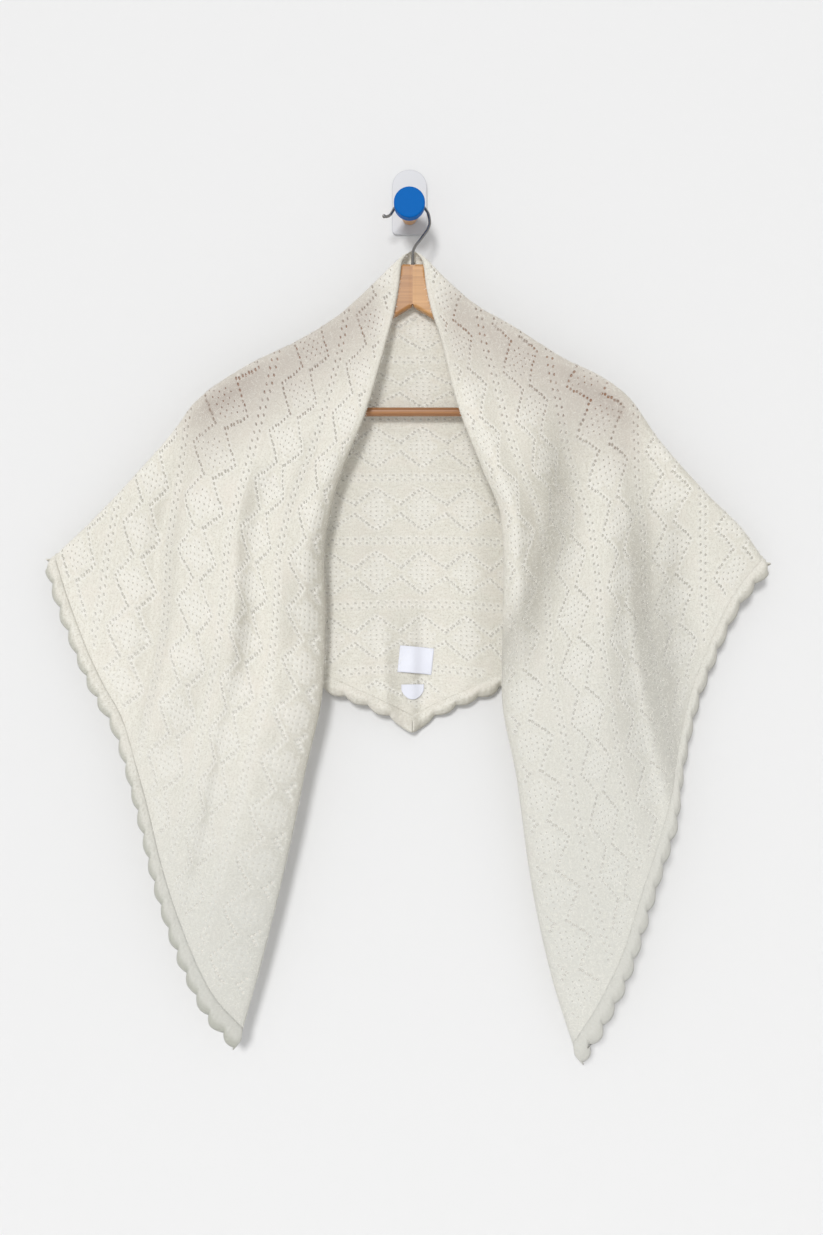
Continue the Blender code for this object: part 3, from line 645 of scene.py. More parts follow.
# painted shade on the edging's turned-under rim
PAINTED_UNDERSIDE_SHADE = colour("#A3A698")
PATCH_SHARE = 0.5
FACING_AWAY_SHADE_SHARE = 0.85
RIM_HIGHLIGHT_SHARE = 0.7
PATCHES_PER_METRE = (28, 40, 1)
FUZZ_PER_METRE = 1400.0
SPECKS_PER_METRE = 520.0
KNIT_RELIEF = 1.0 * MM
FUZZ_RELIEF = 0.35  # next to the streaks' relief
SPECK_RELIEF = 0.6


def wool(name, light, shade, wood_and_shade, streak):
    """Brushed wool: streak is the size in metres of a stitch's streak along s and t."""
    finish, tree, shader = new_finish(name, 0.92)
    place = stored(tree, "flat", "Vector")
    streaks = noise(tree, scaled(tree, place, (1 / streak[0], 1 / streak[1], 1)), 1.0)
    patches = noise(tree, scaled(tree, place, PATCHES_PER_METRE), 1.0)
    fuzz = noise(tree, place, FUZZ_PER_METRE)
    specks = noise(tree, place, SPECKS_PER_METRE, 1.0)
    facing = add_node(tree, "ShaderNodeNewGeometry").outputs["Normal"]
    toward_painted_light = add_node(tree, "ShaderNodeVectorMath", {0: facing, 1: PAINTED_SHADE_LIGHT}, operation="DOT_PRODUCT")
    # painted shade on cloth that faces away from the upper left
    facing_away = ramped(tree, toward_painted_light.outputs["Value"], 0.22, -0.55)
    body = mixed(tree, ramped(tree, streaks, 0.3, 0.65), shade, light)
    for share, tone in (
        (ramped(tree, specks, 0.5, 0.25), SPECK),
        (reckoned(tree, "MULTIPLY", ramped(tree, patches, 0.45, 0.75), PATCH_SHARE), WARM_PATCH),
        (reckoned(tree, "MULTIPLY", facing_away, FACING_AWAY_SHADE_SHARE), FACING_AWAY_SHADE),
        (reckoned(tree, "MULTIPLY", stored(tree, "rim"), RIM_HIGHLIGHT_SHARE), EYELET_RIM_HIGHLIGHT),
        (stored(tree, "lee_shadow_paint"), PAINTED_FOLD_SHADOW),
        (stored(tree, "tip_shade_paint"), PAINTED_TIP_SHADE),
        (stored(tree, "underside_shade_paint"), PAINTED_UNDERSIDE_SHADE),
        (stored(tree, "wood_and_shade"), wood_and_shade),
    ):
        body = mixed(tree, share, body, tone)
    tree.links.new(body, shader.inputs["Base Color"])
    height = reckoned(tree, "MULTIPLY_ADD", fuzz, FUZZ_RELIEF, streaks)
    height = reckoned(tree, "MULTIPLY_ADD", specks, SPECK_RELIEF, height)
    add_bump(tree, shader, height, 0.6, KNIT_RELIEF)
    shader.inputs["Sheen Weight"].default_value = 0.35
    shader.inputs["Sheen Roughness"].default_value = 0.5
    shader.inputs["Specular IOR Level"].default_value = 0.2
    lit_behind = add_node(tree, "ShaderNodeBsdfTranslucent", {"Color": colour("#FFF9EC")})
    show_both(tree, LIGHT_THROUGH, shader, lit_behind)
    return finish


# The last colour of each yarn is wood seen through the cloth, mixed with painted shade below the arms.
knitted_yarn = wool(
    "brushed_wool_knit", colour("#F5F3E9"), colour("#E8E5DA"), colour("#C5BDB4"), (7 * MM, 2.6 * MM)
)
crochet_yarn = wool(
    "brushed_wool_crochet", colour("#F7F5EC"), colour("#E6E3D8"), colour("#C8BEB4"), (3 * MM, 3 * MM)
)


def veil():
    """Loose fibres that cover a share of each eyelet, stored with the cloth."""
    finish, tree, shader = new_finish("brushed_wool_veil", 0.9)
    # browner where the wood shows through, and where painted shade lies below an arm
    tone = mixed(tree, stored(tree, "wood_and_shade"), colour("#EFECE2"), colour("#9A7262"))
    tree.links.new(tone, shader.inputs["Base Color"])
    clear = add_node(tree, "ShaderNodeBsdfTransparent")
    show_both(tree, stored(tree, "fibres"), clear, shader)
    return finish


fibre_veil = veil()
print("yarn finishes:", knitted_yarn.name, crochet_yarn.name, fibre_veil.name)

# %% [markdown]
# ## Lace chart
#
# Lace is knitted stitch by stitch, so its pattern is a small chart on a grid. Across the shawl, a double
# row of eyelets returns after every 28 rows. Between two double rows runs a chain of leaves: from the
# leaf's narrow end two lines of wide eyelets spread out, two lines of small ones close it again, and a
# few fine eyelets lie inside. Each eyelet takes two stitches of one row.

# %% Lace chart
Eyelet = namedtuple("Eyelet", "stitch row kind")
PLAIN, FINE, SMALL, WIDE = 0, 1, 2, 3

REPEAT_STITCHES = 24
REPEAT_ROWS = 28
STITCH = 2.0 * MM  # along s
ROW = 68.7 * MM / REPEAT_ROWS  # along t
FIRST_DOUBLE_ROW = 50.0 * MM  # from the long edge to the first double row, before the cloth hangs
SELVEDGE = 6 * MM  # plain knitting along the long edge
BORDER = 20 * MM  # plain knitting along the short sides
LEAF_MIDDLE = 15
LEAF_START = -7  # stitches from the shawl's middle to a leaf's narrow end


def double_row():
    near = [Eyelet(stitch, 0, SMALL) for stitch in range(0, REPEAT_STITCHES, 4)]
    return near + [Eyelet(stitch, 2, SMALL) for stitch in range(2, REPEAT_STITCHES, 4)]


def leaf():
    """Places from the leaf's narrow end: the stitch, and how many rows off the leaf's middle."""
    spread = [(0, 2), (1, 3), (3, 4), (4, 5), (6, 6), (7, 7), (9, 8)]
    closing = [(11, 9), (13, 8), (15, 7), (16, 6), (18, 5), (20, 4), (22, 3)]
    inside = [(5, 1), (8, 1), (11, 1), (14, 1), (17, 1), (8, 3), (11, 3), (14, 3), (10, 5), (13, 5), (12, 7)]
    return [
        Eyelet(stitch, LEAF_MIDDLE + way * off, kind)
        for places, kind in ((spread, WIDE), (closing, SMALL), (inside, FINE))
        for stitch, off in places
        for way in (-1, 1)
    ]


chart = np.zeros((REPEAT_ROWS, REPEAT_STITCHES), int)
for eyelet in double_row() + leaf():
    chart[eyelet.row, eyelet.stitch] = eyelet.kind
print("eyelets in one repeat:", int((chart > PLAIN).sum()))

# %% [markdown]
# ## Knitting the flat lace
#
# A real eyelet is a hole ringed by stretched stitches. Geometry Nodes puts one small patch on each stitch:
# a plain square, or one with an oval hole of three sizes. Brushed fibres cross every hole, so a thin veil of
# them fills it. The patches share their corners, so merging them by distance gives one sheet. Each input of
# the tree is a size that a knitter would know.

# %% Lace tree
WIDE_EYELET = (3.4 * MM, 2.3 * MM)  # along s and along t
SMALL_EYELET = (3.0 * MM, 2.1 * MM)
FINE_EYELET = (1.7 * MM, 1.3 * MM)
RIM_POINTS = 8  # corners of each eyelet's rim
SAME_PLACE = 0.1 * MM  # points nearer than this are one corner of the knitting


def lace_tree():
    tree, given = new_tree(
        "knitted lace",
        {
            "Stitches": "Geometry",
            "Stitch width": "Float",
            "Row height": "Float",
            "Fine eyelet": "Vector",
            "Small eyelet": "Vector",
            "Wide eyelet": "Vector",
            "Yarn": "Material",
            "Veil": "Material",
        },
        "Lace",
    )
    row = given["Row height"]

    def equals(value, number):
        return add_node(
            tree, "FunctionNodeCompare", {2: value, 3: number}, data_type="INT", operation="EQUAL"
        ).outputs[0]

    def grid(width, points):
        sizes = {"Size X": width, "Size Y": row, "Vertices X": points, "Vertices Y": 2}
        return add_node(tree, "GeometryNodeMeshGrid", sizes).outputs["Mesh"]

    plain = grid(given["Stitch width"], 2)
    two_stitches = grid(reckoned(tree, "MULTIPLY", given["Stitch width"], 2.0), 3)
    neighbours = add_node(tree, "GeometryNodeInputMeshEdgeNeighbors")
    outline = add_node(
        tree, "GeometryNodeMeshToCurve", {"Mesh": two_stitches, "Selection": equals(neighbours.outputs[0], 1)}
    )
    circle = add_node(
        tree, "GeometryNodeCurvePrimitiveCircle", {"Resolution": RIM_POINTS, "Radius": 0.5}, mode="RADIUS"
    )

    def knitted(shape, yarn="Yarn"):
        done = add_node(tree, "GeometryNodeSetMaterial", {"Geometry": shape, "Material": given[yarn]})
        return done.outputs["Geometry"]

    def filled(curves):
        patch = add_node(tree, "GeometryNodeFillCurve", {"Curve": curves})
        patch.mode = "TRIANGLES"
        return patch.outputs["Mesh"]

    def joined(*shapes):
        both = add_node(tree, "GeometryNodeJoinGeometry")
        for shape in reversed(shapes):
            tree.links.new(shape, both.inputs[0])
        return both.outputs[0]

    def holed(size):
        oval = add_node(
            tree,
            "GeometryNodeTransform",
            {"Geometry": circle.outputs["Curve"], "Rotation": (0, 0, math.pi / RIM_POINTS), "Scale": size},
        )
        rim = oval.outputs["Geometry"]
        ring = knitted(filled(joined(outline.outputs["Curve"], rim)))
        return joined(ring, knitted(filled(rim), "Veil"))

    points = add_node(tree, "GeometryNodeMeshToPoints", {"Mesh": given["Stitches"]})
    kind = add_node(tree, "GeometryNodeInputNamedAttribute", {"Name": "kind"}, data_type="INT")
    every = add_node(tree, "GeometryNodeJoinGeometry")
    for patch, number in (
        (knitted(plain), PLAIN),
        (holed(given["Fine eyelet"]), FINE),
        (holed(given["Small eyelet"]), SMALL),
        (holed(given["Wide eyelet"]), WIDE),
    ):
        chosen = equals(kind.outputs["Attribute"], number)
        placed = add_node(
            tree,
            "GeometryNodeInstanceOnPoints",
            {"Points": points.outputs["Points"], "Selection": chosen, "Instance": patch},
        )
        tree.links.new(placed.outputs["Instances"], every.inputs[0])
    real = add_node(tree, "GeometryNodeRealizeInstances", {"Geometry": every.outputs[0]})
    sheet = add_node(
        tree, "GeometryNodeMergeByDistance", {"Geometry": real.outputs[0], "Distance": SAME_PLACE}
    )
    hand_out(tree, sheet)
    return tree


def run_tree(base, tree, values, name):
    """Puts a tree on an object, with its named inputs, and returns what it makes as a plain mesh."""
    modifier = base.modifiers.new(tree.name, "NODES")
    modifier.node_group = tree
    for item in tree.interface.items_tree:
        if item.item_type == "SOCKET" and item.in_out == "INPUT" and item.name in values:
            modifier[item.identifier] = values[item.name]
    base.update_tag()
    graph = bpy.context.evaluated_depsgraph_get()
    graph.update()
    mesh = bpy.data.meshes.new_from_object(base.evaluated_get(graph))
    mesh.name = name
    base.modifiers.remove(modifier)
    return mesh


knitted_lace = lace_tree()
print("patches: one plain, and three with a hole of", RIM_POINTS, "corners")


# %% Stitches of the flat shawl
CURL_ROWS = 3  # knitting past the long edge, which curls under by itself
EXTRA_LENGTH = 1.06  # of the knitting past the tips, cut off later
COVERED = 1.5 * MM  # of the knitting's cut edge, by the edging
KNIT_SHARE = 1 - (EDGING_WIDTH - COVERED) * SHARE_PER_METRE
SPARE_STITCHES = 3  # past the short sides, cut off later
ROWS_BEFORE = round(FIRST_DOUBLE_ROW / ROW)


def from_short_side(s, t):
    """How far a flat point lies inside the short sides."""
    return (FLAT_DEPTH * (HALF_LENGTH - np.abs(s)) - HALF_LENGTH * t) / SHORT_SIDE


def stitch_points():
    """One point for each plain stitch and each eyelet of the triangle."""
    half = math.ceil(HALF_LENGTH * EXTRA_LENGTH / STITCH)
    stitches = np.arange(-half, half)
    rows = np.arange(-CURL_ROWS, math.ceil(FLAT_DEPTH / ROW) + 1)
    u, v = np.meshgrid(stitches, rows)
    charted = chart[(v - ROWS_BEFORE) % REPEAT_ROWS, (u - LEAF_START) % REPEAT_STITCHES]
    centre_t = (v + 0.5) * ROW
    pair_s, pair_t = pulled((u + 1) * STITCH, centre_t)
    eyelet = (charted > PLAIN) & (pair_t > SELVEDGE) & (from_short_side(pair_s, pair_t) > BORDER)
    taken = eyelet | np.roll(eyelet, 1, axis=1)
    centre_s = (u + 0.5) * STITCH
    plain = ~taken & (from_short_side(*pulled(centre_s, centre_t)) > -SPARE_STITCHES * STITCH)
    s = np.concatenate([centre_s[plain], ((u + 1) * STITCH)[eyelet]])
    t = np.concatenate([centre_t[plain], centre_t[eyelet]])
    return s, t, np.concatenate([np.full(plain.sum(), PLAIN), charted[eyelet]])


# %% Pull of the cloth's own weight
Pull = namedtuple("Pull", "knitted back front")  # t of a row as knitted, and hung in the back or a front

PULLS = [
    Pull(-0.020, -0.020, -0.020),
    Pull(0.0, 0.0, 0.0),
    Pull(0.0537, 0.0606, 0.0500),
    Pull(0.1224, 0.1226, 0.1030),
    Pull(0.1911, 0.1861, 0.1700),
    Pull(0.2598, 0.2530, 0.2380),
    Pull(0.3285, 0.3235, 0.3060),
    Pull(0.3972, 0.3953, 0.3750),
    Pull(0.4659, 0.4673, 0.4450),
    Pull(0.5600, 0.5640, 0.5400),
]
FRONT_STRETCH = 1.125  # along s, because the fronts hang along it
FRONT_SLANT = 0.2  # the fronts' outer sides ride up
PULL_FADE = 0.02  # how far behind the fold the front's pull is felt, at the long edge
PULL_FADE_GROWS = 0.35  # for each metre of t


def pulled(s, t):
    """Flat places of knitted stitches once the shawl hangs. The pull fades in the back, out of sight."""
    back_t = column(PULLS, "knitted", "back", t)
    front_t = column(PULLS, "knitted", "front", t)
    held_t = np.maximum(front_t, 0)
    past_fold = np.abs(s) - held_t * (FOLD_COS / FOLD_SIN + FRONT_SLANT)
    behind = np.maximum(-past_fold, 0) * FOLD_SIN
    share = smooth_step(1 - behind / (PULL_FADE + PULL_FADE_GROWS * held_t))
    along = np.abs(s) - FRONT_SLANT * held_t * share + (FRONT_STRETCH - 1) * np.maximum(past_fold, 0)
    return np.sign(s) * along, back_t + (front_t - back_t) * share


stitch_s, stitch_t, stitch_kind = stitch_points()
print(f"{len(stitch_s)} patches, {int((stitch_kind > PLAIN).sum())} of them eyelets")

# %% Knit the sheet
dots = bpy.data.meshes.new("stitches")
dots.vertices.add(len(stitch_s))
move_to(dots, on_flat(stitch_s, stitch_t))
dots.attributes.new("kind", "INT", "POINT").data.foreach_set("value", stitch_kind)
stitches = add_piece("stitches", dots)
knit_sizes = {
    "Stitch width": STITCH,
    "Row height": ROW,
    "Fine eyelet": (*FINE_EYELET, 1.0),
    "Small eyelet": (*SMALL_EYELET, 1.0),
    "Wide eyelet": (*WIDE_EYELET, 1.0),
    "Yarn": knitted_yarn,
    "Veil": fibre_veil,
}
flat_lace = run_tree(stitches, knitted_lace, knit_sizes, "flat_lace")
bpy.data.objects.remove(stitches, do_unlink=True)
print("flat lace:", len(flat_lace.vertices), "points,", len(flat_lace.polygons), "faces")

# %% [markdown]
# ## Cutting, draping and parting the sheet
#
# Two straight cuts trim the sheet along its short sides, and two more follow the folds over the arms, so
# that the back and each front can be parted there. Every point then moves to its draped place. The points'
# normals are taken from the whole sheet before it is parted, so no shading seam shows along the folds.

# %% Cut and drape
CURL_RADIUS = 2.2 * MM
CURL_START = CURL_RADIUS  # so that the roll's outermost line is the long edge
NECK_FADE = 20 * MM  # from the neck to where the long edge curls fully
NEXT_IN = 0.5 * MM  # to the neighbours of a point that show how the cloth lies there
NEXT_ON = 1.0 * MM
MARGIN = 3  # corners kept free round the grid of stitches


def rim_heights(s, t):
    """How far up the stitches that ring each eyelet stand, from 0 to 1, at the knitting's own corners."""
    u, v = np.round(s / STITCH).astype(int), np.round(t / ROW).astype(int)
    on_grid = (np.abs(s - u * STITCH) < SAME_PLACE) & (np.abs(t - v * ROW) < SAME_PLACE)
    low_u, low_v = u.min() - MARGIN, v.min() - MARGIN
    rims = np.zeros((v.max() - low_v + MARGIN + 1, u.max() - low_u + MARGIN + 1))
    holed = stitch_kind > PLAIN
    eyelet_u = np.round(stitch_s[holed] / STITCH).astype(int) - low_u
    eyelet_v = np.floor(stitch_t[holed] / ROW).astype(int) - low_v
    for across in (-1, 0, 1):
        for up in (0, 1):
            np.add.at(rims, (eyelet_v + up, eyelet_u + across), 1)
    return np.where(on_grid, np.minimum(rims[v - low_v, u - low_u], 2) / 2, 0)


def cut_flat(bm):
    """Trims the short sides, and cuts along the folds over the arms without taking anything away."""

    def cut(place, normal, clear):
        every = bm.verts[:] + bm.edges[:] + bm.faces[:]
        bmesh.ops.bisect_plane(
            bm, geom=every, dist=1e-6, plane_co=(*place, 0), plane_no=(*normal, 0), clear_outer=clear
        )

    for way in (-1, 1):
        side_place = (way * HALF_LENGTH * KNIT_SHARE, 0)
        cut(side_place, (way * FLAT_DEPTH / SHORT_SIDE, HALF_LENGTH / SHORT_SIDE), True)
        cut((0, 0), (way * FOLD_SIN, -FOLD_COS), False)


def is_front(s, t):
    """Whether flat points lie on a front's side of the fold over its arm."""
    return np.abs(s) * FOLD_SIN > t * FOLD_COS


def drape(s, t):
    """World places of flat points. Past the long edge, the knitting curls under."""
    front = is_front(s, t)
    places = np.empty((len(s), 3))
    for side, way in (("left", -1), ("right", 1)):
        chosen = front & ((s < 0) if way < 0 else (s >= 0))
        along = np.abs(s[chosen])
        least = np.minimum(CURL_START, along * FOLD_SIN / FOLD_COS)
        t_here = np.where(t[chosen] < CURL_START, least, t[chosen])
        place = np.stack(front_point(side, along, t_here), axis=1)
        inward = np.stack(front_point(side, along, t_here + NEXT_IN), axis=1) - place
        onward = np.stack(front_point(side, along + NEXT_ON, t_here), axis=1) - place
        inward /= np.linalg.norm(inward, axis=1)[:, None]
        out = np.cross(inward, onward) * way
        out /= np.linalg.norm(out, axis=1)[:, None]
        turn = np.maximum(t_here - t[chosen], 0)[:, None] / CURL_RADIUS
        fade = smooth_step(along / NECK_FADE)[:, None]
        place -= fade * CURL_RADIUS * (np.sin(turn) * inward - (1 - np.cos(turn)) * out)
        places[chosen] = place
    places[~front] = np.stack(back_point(s[~front], t[~front]), axis=1)
    return places


knitted_s, knitted_t = places_of(flat_lace)[:, :2].T
store(flat_lace, "rim", rim_heights(knitted_s, knitted_t))
move_to(flat_lace, on_flat(*pulled(knitted_s, knitted_t)))
bm = bmesh.new()
bm.from_mesh(flat_lace)
cut_flat(bm)
bm.to_mesh(flat_lace)
bm.free()
flat_s, flat_t = places_of(flat_lace)[:, :2].T
draped = drape(flat_s, flat_t)
move_to(flat_lace, draped)
print("draped lace:", len(draped), "points, lowest", round(float(draped[:, 2].min()), 4))

# %% Relief, attributes and normals
RIM = 0.55 * MM  # how far the stitches round an eyelet stand up
ARM_HEAD = Place(0.020, -0.108)  # the middle line of the hanger's arm, at its head and at its end
ARM_TIP = Place(0.215, -0.232)
ARM_SHOWS = 0.044  # how far above and below that line the wood darkens the cloth
ARM_SHADES = 0.10  # and how far below it painted shade still darkens the cloth, where it hangs close to the arm
# how dark the painted shade below the arm is
SHADE_SHARE = 0.75
LOOSE_SHARE = 0.45  # of the wood's tone, near the arm's head, where the cloth hangs loose over it
TIGHT_FROM = 0.4  # share of the arm's length from which the cloth is drawn tight over it
TIGHT_OVER = 0.5
HEAD_FADE = 0.15  # shares of the arm's length over which the wood's tone comes in and dies away
TIP_FADE = 0.25


def wood_and_shade_at(places):
    """How much the wood shows through over a hanger arm, with painted shade below it: 1 over the arm's
    middle, fading to 0 past its edges.
    """
    out = np.abs(places[:, 0] - HANGER_X)
    along = (out - ARM_HEAD.out) / (ARM_TIP.out - ARM_HEAD.out)
    off = places[:, 2] - (ARM_HEAD.z + (ARM_TIP.z - ARM_HEAD.z) * along)
    tight = LOOSE_SHARE + (1 - LOOSE_SHARE) * smooth_step((along - TIGHT_FROM) / TIGHT_OVER)
    over = tight * (1 - smooth_step(np.abs(off) / ARM_SHOWS))
    # painted shade below the arm, where the cloth hangs close to it
    near = SHADE_SHARE * (1 - smooth_step(np.where(off > 0, off / ARM_SHOWS, -off / ARM_SHADES)))
    on_arm = smooth_step(along / HEAD_FADE) * smooth_step((1 + TIP_FADE - along) / TIP_FADE)
    return np.maximum(over, near) * on_arm


TIP_SHADE_FROM = {"left": 0.45, "right": 0.20}  # metres along s where painted shade starts to darken each front
TIP_SHADE_TO = 0.80
TIP_SHADE_SHARE = 0.75


def tip_shade_paint(s):
    """Painted shade on the fronts, darker towards their tips."""
    start = np.where(s < 0, TIP_SHADE_FROM["left"], TIP_SHADE_FROM["right"])
    return TIP_SHADE_SHARE * smooth_step((np.abs(s) - start) / (TIP_SHADE_TO - start))


LEE_SHADOW_EDGE = 14 * MM  # over which the painted shadow starts, before the fold's middle


def lee_shadow_paint(s, t):
    """The painted shadow behind the deep folds: full at the fold, and weaker further off."""
    run = np.clip(np.abs(s) - CORNER_S * t / CORNER_T, 0, HALF_LENGTH)
    dim = np.zeros_like(t)
    for lee_shadow in LEE_SHADOWS:
        strength, behind = along_fold(lee_shadow, t, run)
        away = smooth_step(1 + behind / LEE_SHADOW_EDGE) * (1 - smooth_step(behind / lee_shadow.reach))
        dim = np.maximum(dim, lee_shadow.share * strength * away * ((s < 0) == (lee_shadow.side == "left")))
    return dim


FIBRES_FRONT = 0.42  # share of an eyelet that loose fibres cover, near the neck
FIBRES_BACK = 0.60
MORE_FIBRES = {"left": 0.25, "right": 0.05}  # on each front towards its tip
MORE_FROM = 0.25  # metres along s
MORE_OVER = 0.35


def fibres(s, front):
    """The share of each eyelet that loose fibres cover."""
    most = np.where(s < 0, MORE_FIBRES["left"], MORE_FIBRES["right"])
    more = most * smooth_step((np.abs(s) - MORE_FROM) / MORE_OVER)
    return np.where(front, FIBRES_FRONT + more, FIBRES_BACK)


rims = np.empty(len(flat_lace.vertices))
flat_lace.attributes["rim"].data.foreach_get("value", rims)
draped += vertex_normals(flat_lace) * (RIM * rims)[:, None]
move_to(flat_lace, draped)
on_front = is_front(flat_s, flat_t)
store_vectors(flat_lace, "flat", on_flat(flat_s, flat_t))
# wood seen through the cloth, and painted shade below the arms
store(flat_lace, "wood_and_shade", wood_and_shade_at(draped) * on_front)
# painted shade towards the fronts' tips
store(flat_lace, "tip_shade_paint", tip_shade_paint(flat_s) * on_front)
# painted shadow behind the deep folds
store(flat_lace, "lee_shadow_paint", lee_shadow_paint(flat_s, flat_t) * on_front)
store(flat_lace, "fibres", fibres(flat_s, on_front))
store_vectors(flat_lace, "whole_normal", vertex_normals(flat_lace))
print(f"{np.mean(rims > 0):.0%} of the points stand up round an eyelet")


# %% Part the sheet
def parted(name, keep):
    """The faces of the sheet whose middles keep() accepts, as a piece of its own."""
    mesh = flat_lace.copy()
    mesh.name = name
    bm = bmesh.new()
    bm.from_mesh(mesh)
    place = bm.verts.layers.float_vector["flat"]
    away = []
    for face in bm.faces:
        s = sum(vert[place].x for vert in face.verts) / len(face.verts)
        t = sum(vert[place].y for vert in face.verts) / len(face.verts)
        if not keep(s, t):
            away.append(face)
    bmesh.ops.delete(bm, geom=away, context="FACES")
    bm.to_mesh(mesh)
    bm.free()
    mesh.shade_smooth()
    normals = np.empty(len(mesh.vertices) * 3)
    mesh.attributes["whole_normal"].data.foreach_get("vector", normals)
    mesh.normals_split_custom_set_from_vertices(normals.reshape(-1, 3))
    mesh.attributes.remove(mesh.attributes["whole_normal"])
    return add_piece(name, mesh)


lace_back = parted("lace_back", lambda s, t: not is_front(s, t))
lace_front_left = parted("lace_front_left", lambda s, t: is_front(s, t) and s < 0)
lace_front_right = parted("lace_front_right", lambda s, t: is_front(s, t) and s >= 0)
bpy.data.meshes.remove(flat_lace)
for piece in (lace_back, lace_front_left, lace_front_right):
    print(piece.name, triangles(piece), "triangles")

# %% [markdown]
# ## Crochet edging
#
# The short sides end in a strip of crochet shells about 27 mm wide. A shell is a fan of long stitches
# worked into one place. The strip rolls: it starts under the knitting and turns back at its rim. Geometry
# Nodes repeats one shell along a straight strip, and the strip is then bent round the shawl's edge by the
# same drape as the lace. Solidify gives it its soft thickness.

# %% One shell
SHELL_COLUMNS = 16
SHELL_ROWS = 7
SHELL_STITCHES = 7
FAN_HEIGHT = 0.5 * MM
FAN_SPREAD = 1.9  # how widely the fan's stitches spread
FAN_ROOT = 0.35  # how far inside the strip they start, as a share of its width
ROLL_HEIGHT = 1.3 * MM
ROLL_SUNK = 0.7 * MM  # the roll's inner side starts this far under the knitting
RIM_TURN = 3.5 * MM  # and its rim turns this far back
RIM_TURNS_FROM = 0.4  # share of the strip's width
SHELL_SEAM = 0.001  # neighbours closer than this share of a shell are joined


def shell_mesh():
    """One shell on a unit square: x along the edge, y outwards, z its relief in metres."""
    bm = bmesh.new()
    bmesh.ops.create_grid(bm, x_segments=SHELL_COLUMNS, y_segments=SHELL_ROWS, size=0.5)
    for vert in bm.verts:
        x, y = vert.co.x, vert.co.y + 0.5
        fan = math.atan2(x * FAN_SPREAD, y + FAN_ROOT)
        ridge = 0.5 + 0.5 * math.cos(fan * SHELL_STITCHES * 2)
        y = min(max(y, 0), 1)
        roll = ROLL_HEIGHT * math.sin(math.pi * y) ** 2 - ROLL_SUNK
        turned = RIM_TURN * max((y - RIM_TURNS_FROM) / (1 - RIM_TURNS_FROM), 0) ** 2
        vert.co = (x + 0.5, y, roll - turned + FAN_HEIGHT * ridge * math.sin(math.pi * y))
    return mesh_from(bm, "crochet_shell")


def strip_tree():
    tree, given = new_tree(
        "crochet strip", {"Shell": "Geometry", "Shells": "Int", "Yarn": "Material"}, "Strip"
    )
    line = add_node(tree, "GeometryNodeMeshLine", {"Count": given["Shells"], "Offset": (1, 0, 0)})
    placed = add_node(
        tree, "GeometryNodeInstanceOnPoints", {"Points": line.outputs["Mesh"], "Instance": given["Shell"]}
    )
    real = add_node(tree, "GeometryNodeRealizeInstances", {"Geometry": placed.outputs[0]})
    strip = add_node(
        tree, "GeometryNodeMergeByDistance", {"Geometry": real.outputs[0], "Distance": SHELL_SEAM}
    )
    done = add_node(
        tree, "GeometryNodeSetMaterial", {"Geometry": strip.outputs[0], "Material": given["Yarn"]}
    )
    hand_out(tree, done)
    return tree


crochet_strip = strip_tree()
print("one shell:", SHELL_COLUMNS * SHELL_ROWS * 2, "triangles")


# %% Edging strips
STRIP_THICKNESS = 1.6 * MM
POINT_PULL = 7 * MM  # the back's point is drawn out by its own weight
POINT_SHARE = 0.03  # over this share of the back's side
POINT_SEAM = 0.2 * MM  # the back's two strips are joined where they come this near
WORN = 0.90  # no two shells stand quite alike: this share of a scallop's depth, give or take the next
WORN_SPREAD = 0.20
WORN_WAVES = (37, 11)  # two waves along the edge, never in step
UNDERSIDE_SHADE_FROM = 0.45  # share of a strip's width from which painted shade darkens the turned-under rim
UNDERSIDE_SHADE_OVER = 0.4
# How much painted shade darkens each rim where it turns under. The left front's gets the most.
UNDERSIDE_SHADE_SHARE = {
    "crochet_edging_front_left": 0.55,
    "crochet_edging_front_right": 0.05,
    "crochet_edging_back": 0.1,
}


def strip_places(along, out, first, last, way):
    """Flat places of a strip, at shares of its length and of its width from the knitting outwards."""
    turn = first + (last - first) * along
    s = np.where(turn < 1, HALF_LENGTH + (CORNER_S - HALF_LENGTH) * turn, CORNER_S * (2 - turn))
    t = FLAT_DEPTH * (1 - s / HALF_LENGTH)
    inner = 1 - EDGING_WIDTH * SHARE_PER_METRE
    share = inner + (1 - inner) * out
    shells = FRONT_SCALLOPS if first < 1 else BACK_SCALLOPS
    worn = WORN + WORN_SPREAD * np.sin(WORN_WAVES[0] * turn) * np.sin(WORN_WAVES[1] * turn + way)
    bulge = worn * SCALLOP_DEPTH * (np.abs(np.sin(math.pi * shells * turn)) - 0.5) * out
    at_point = np.exp(-(((2 - turn) / POINT_SHARE) ** 2))
    s = s * share + bulge * FLAT_DEPTH / SHORT_SIDE * (1 - at_point)
    t = t * share + (bulge + POINT_PULL * at_point * out) * HALF_LENGTH / SHORT_SIDE
    return way * s, t


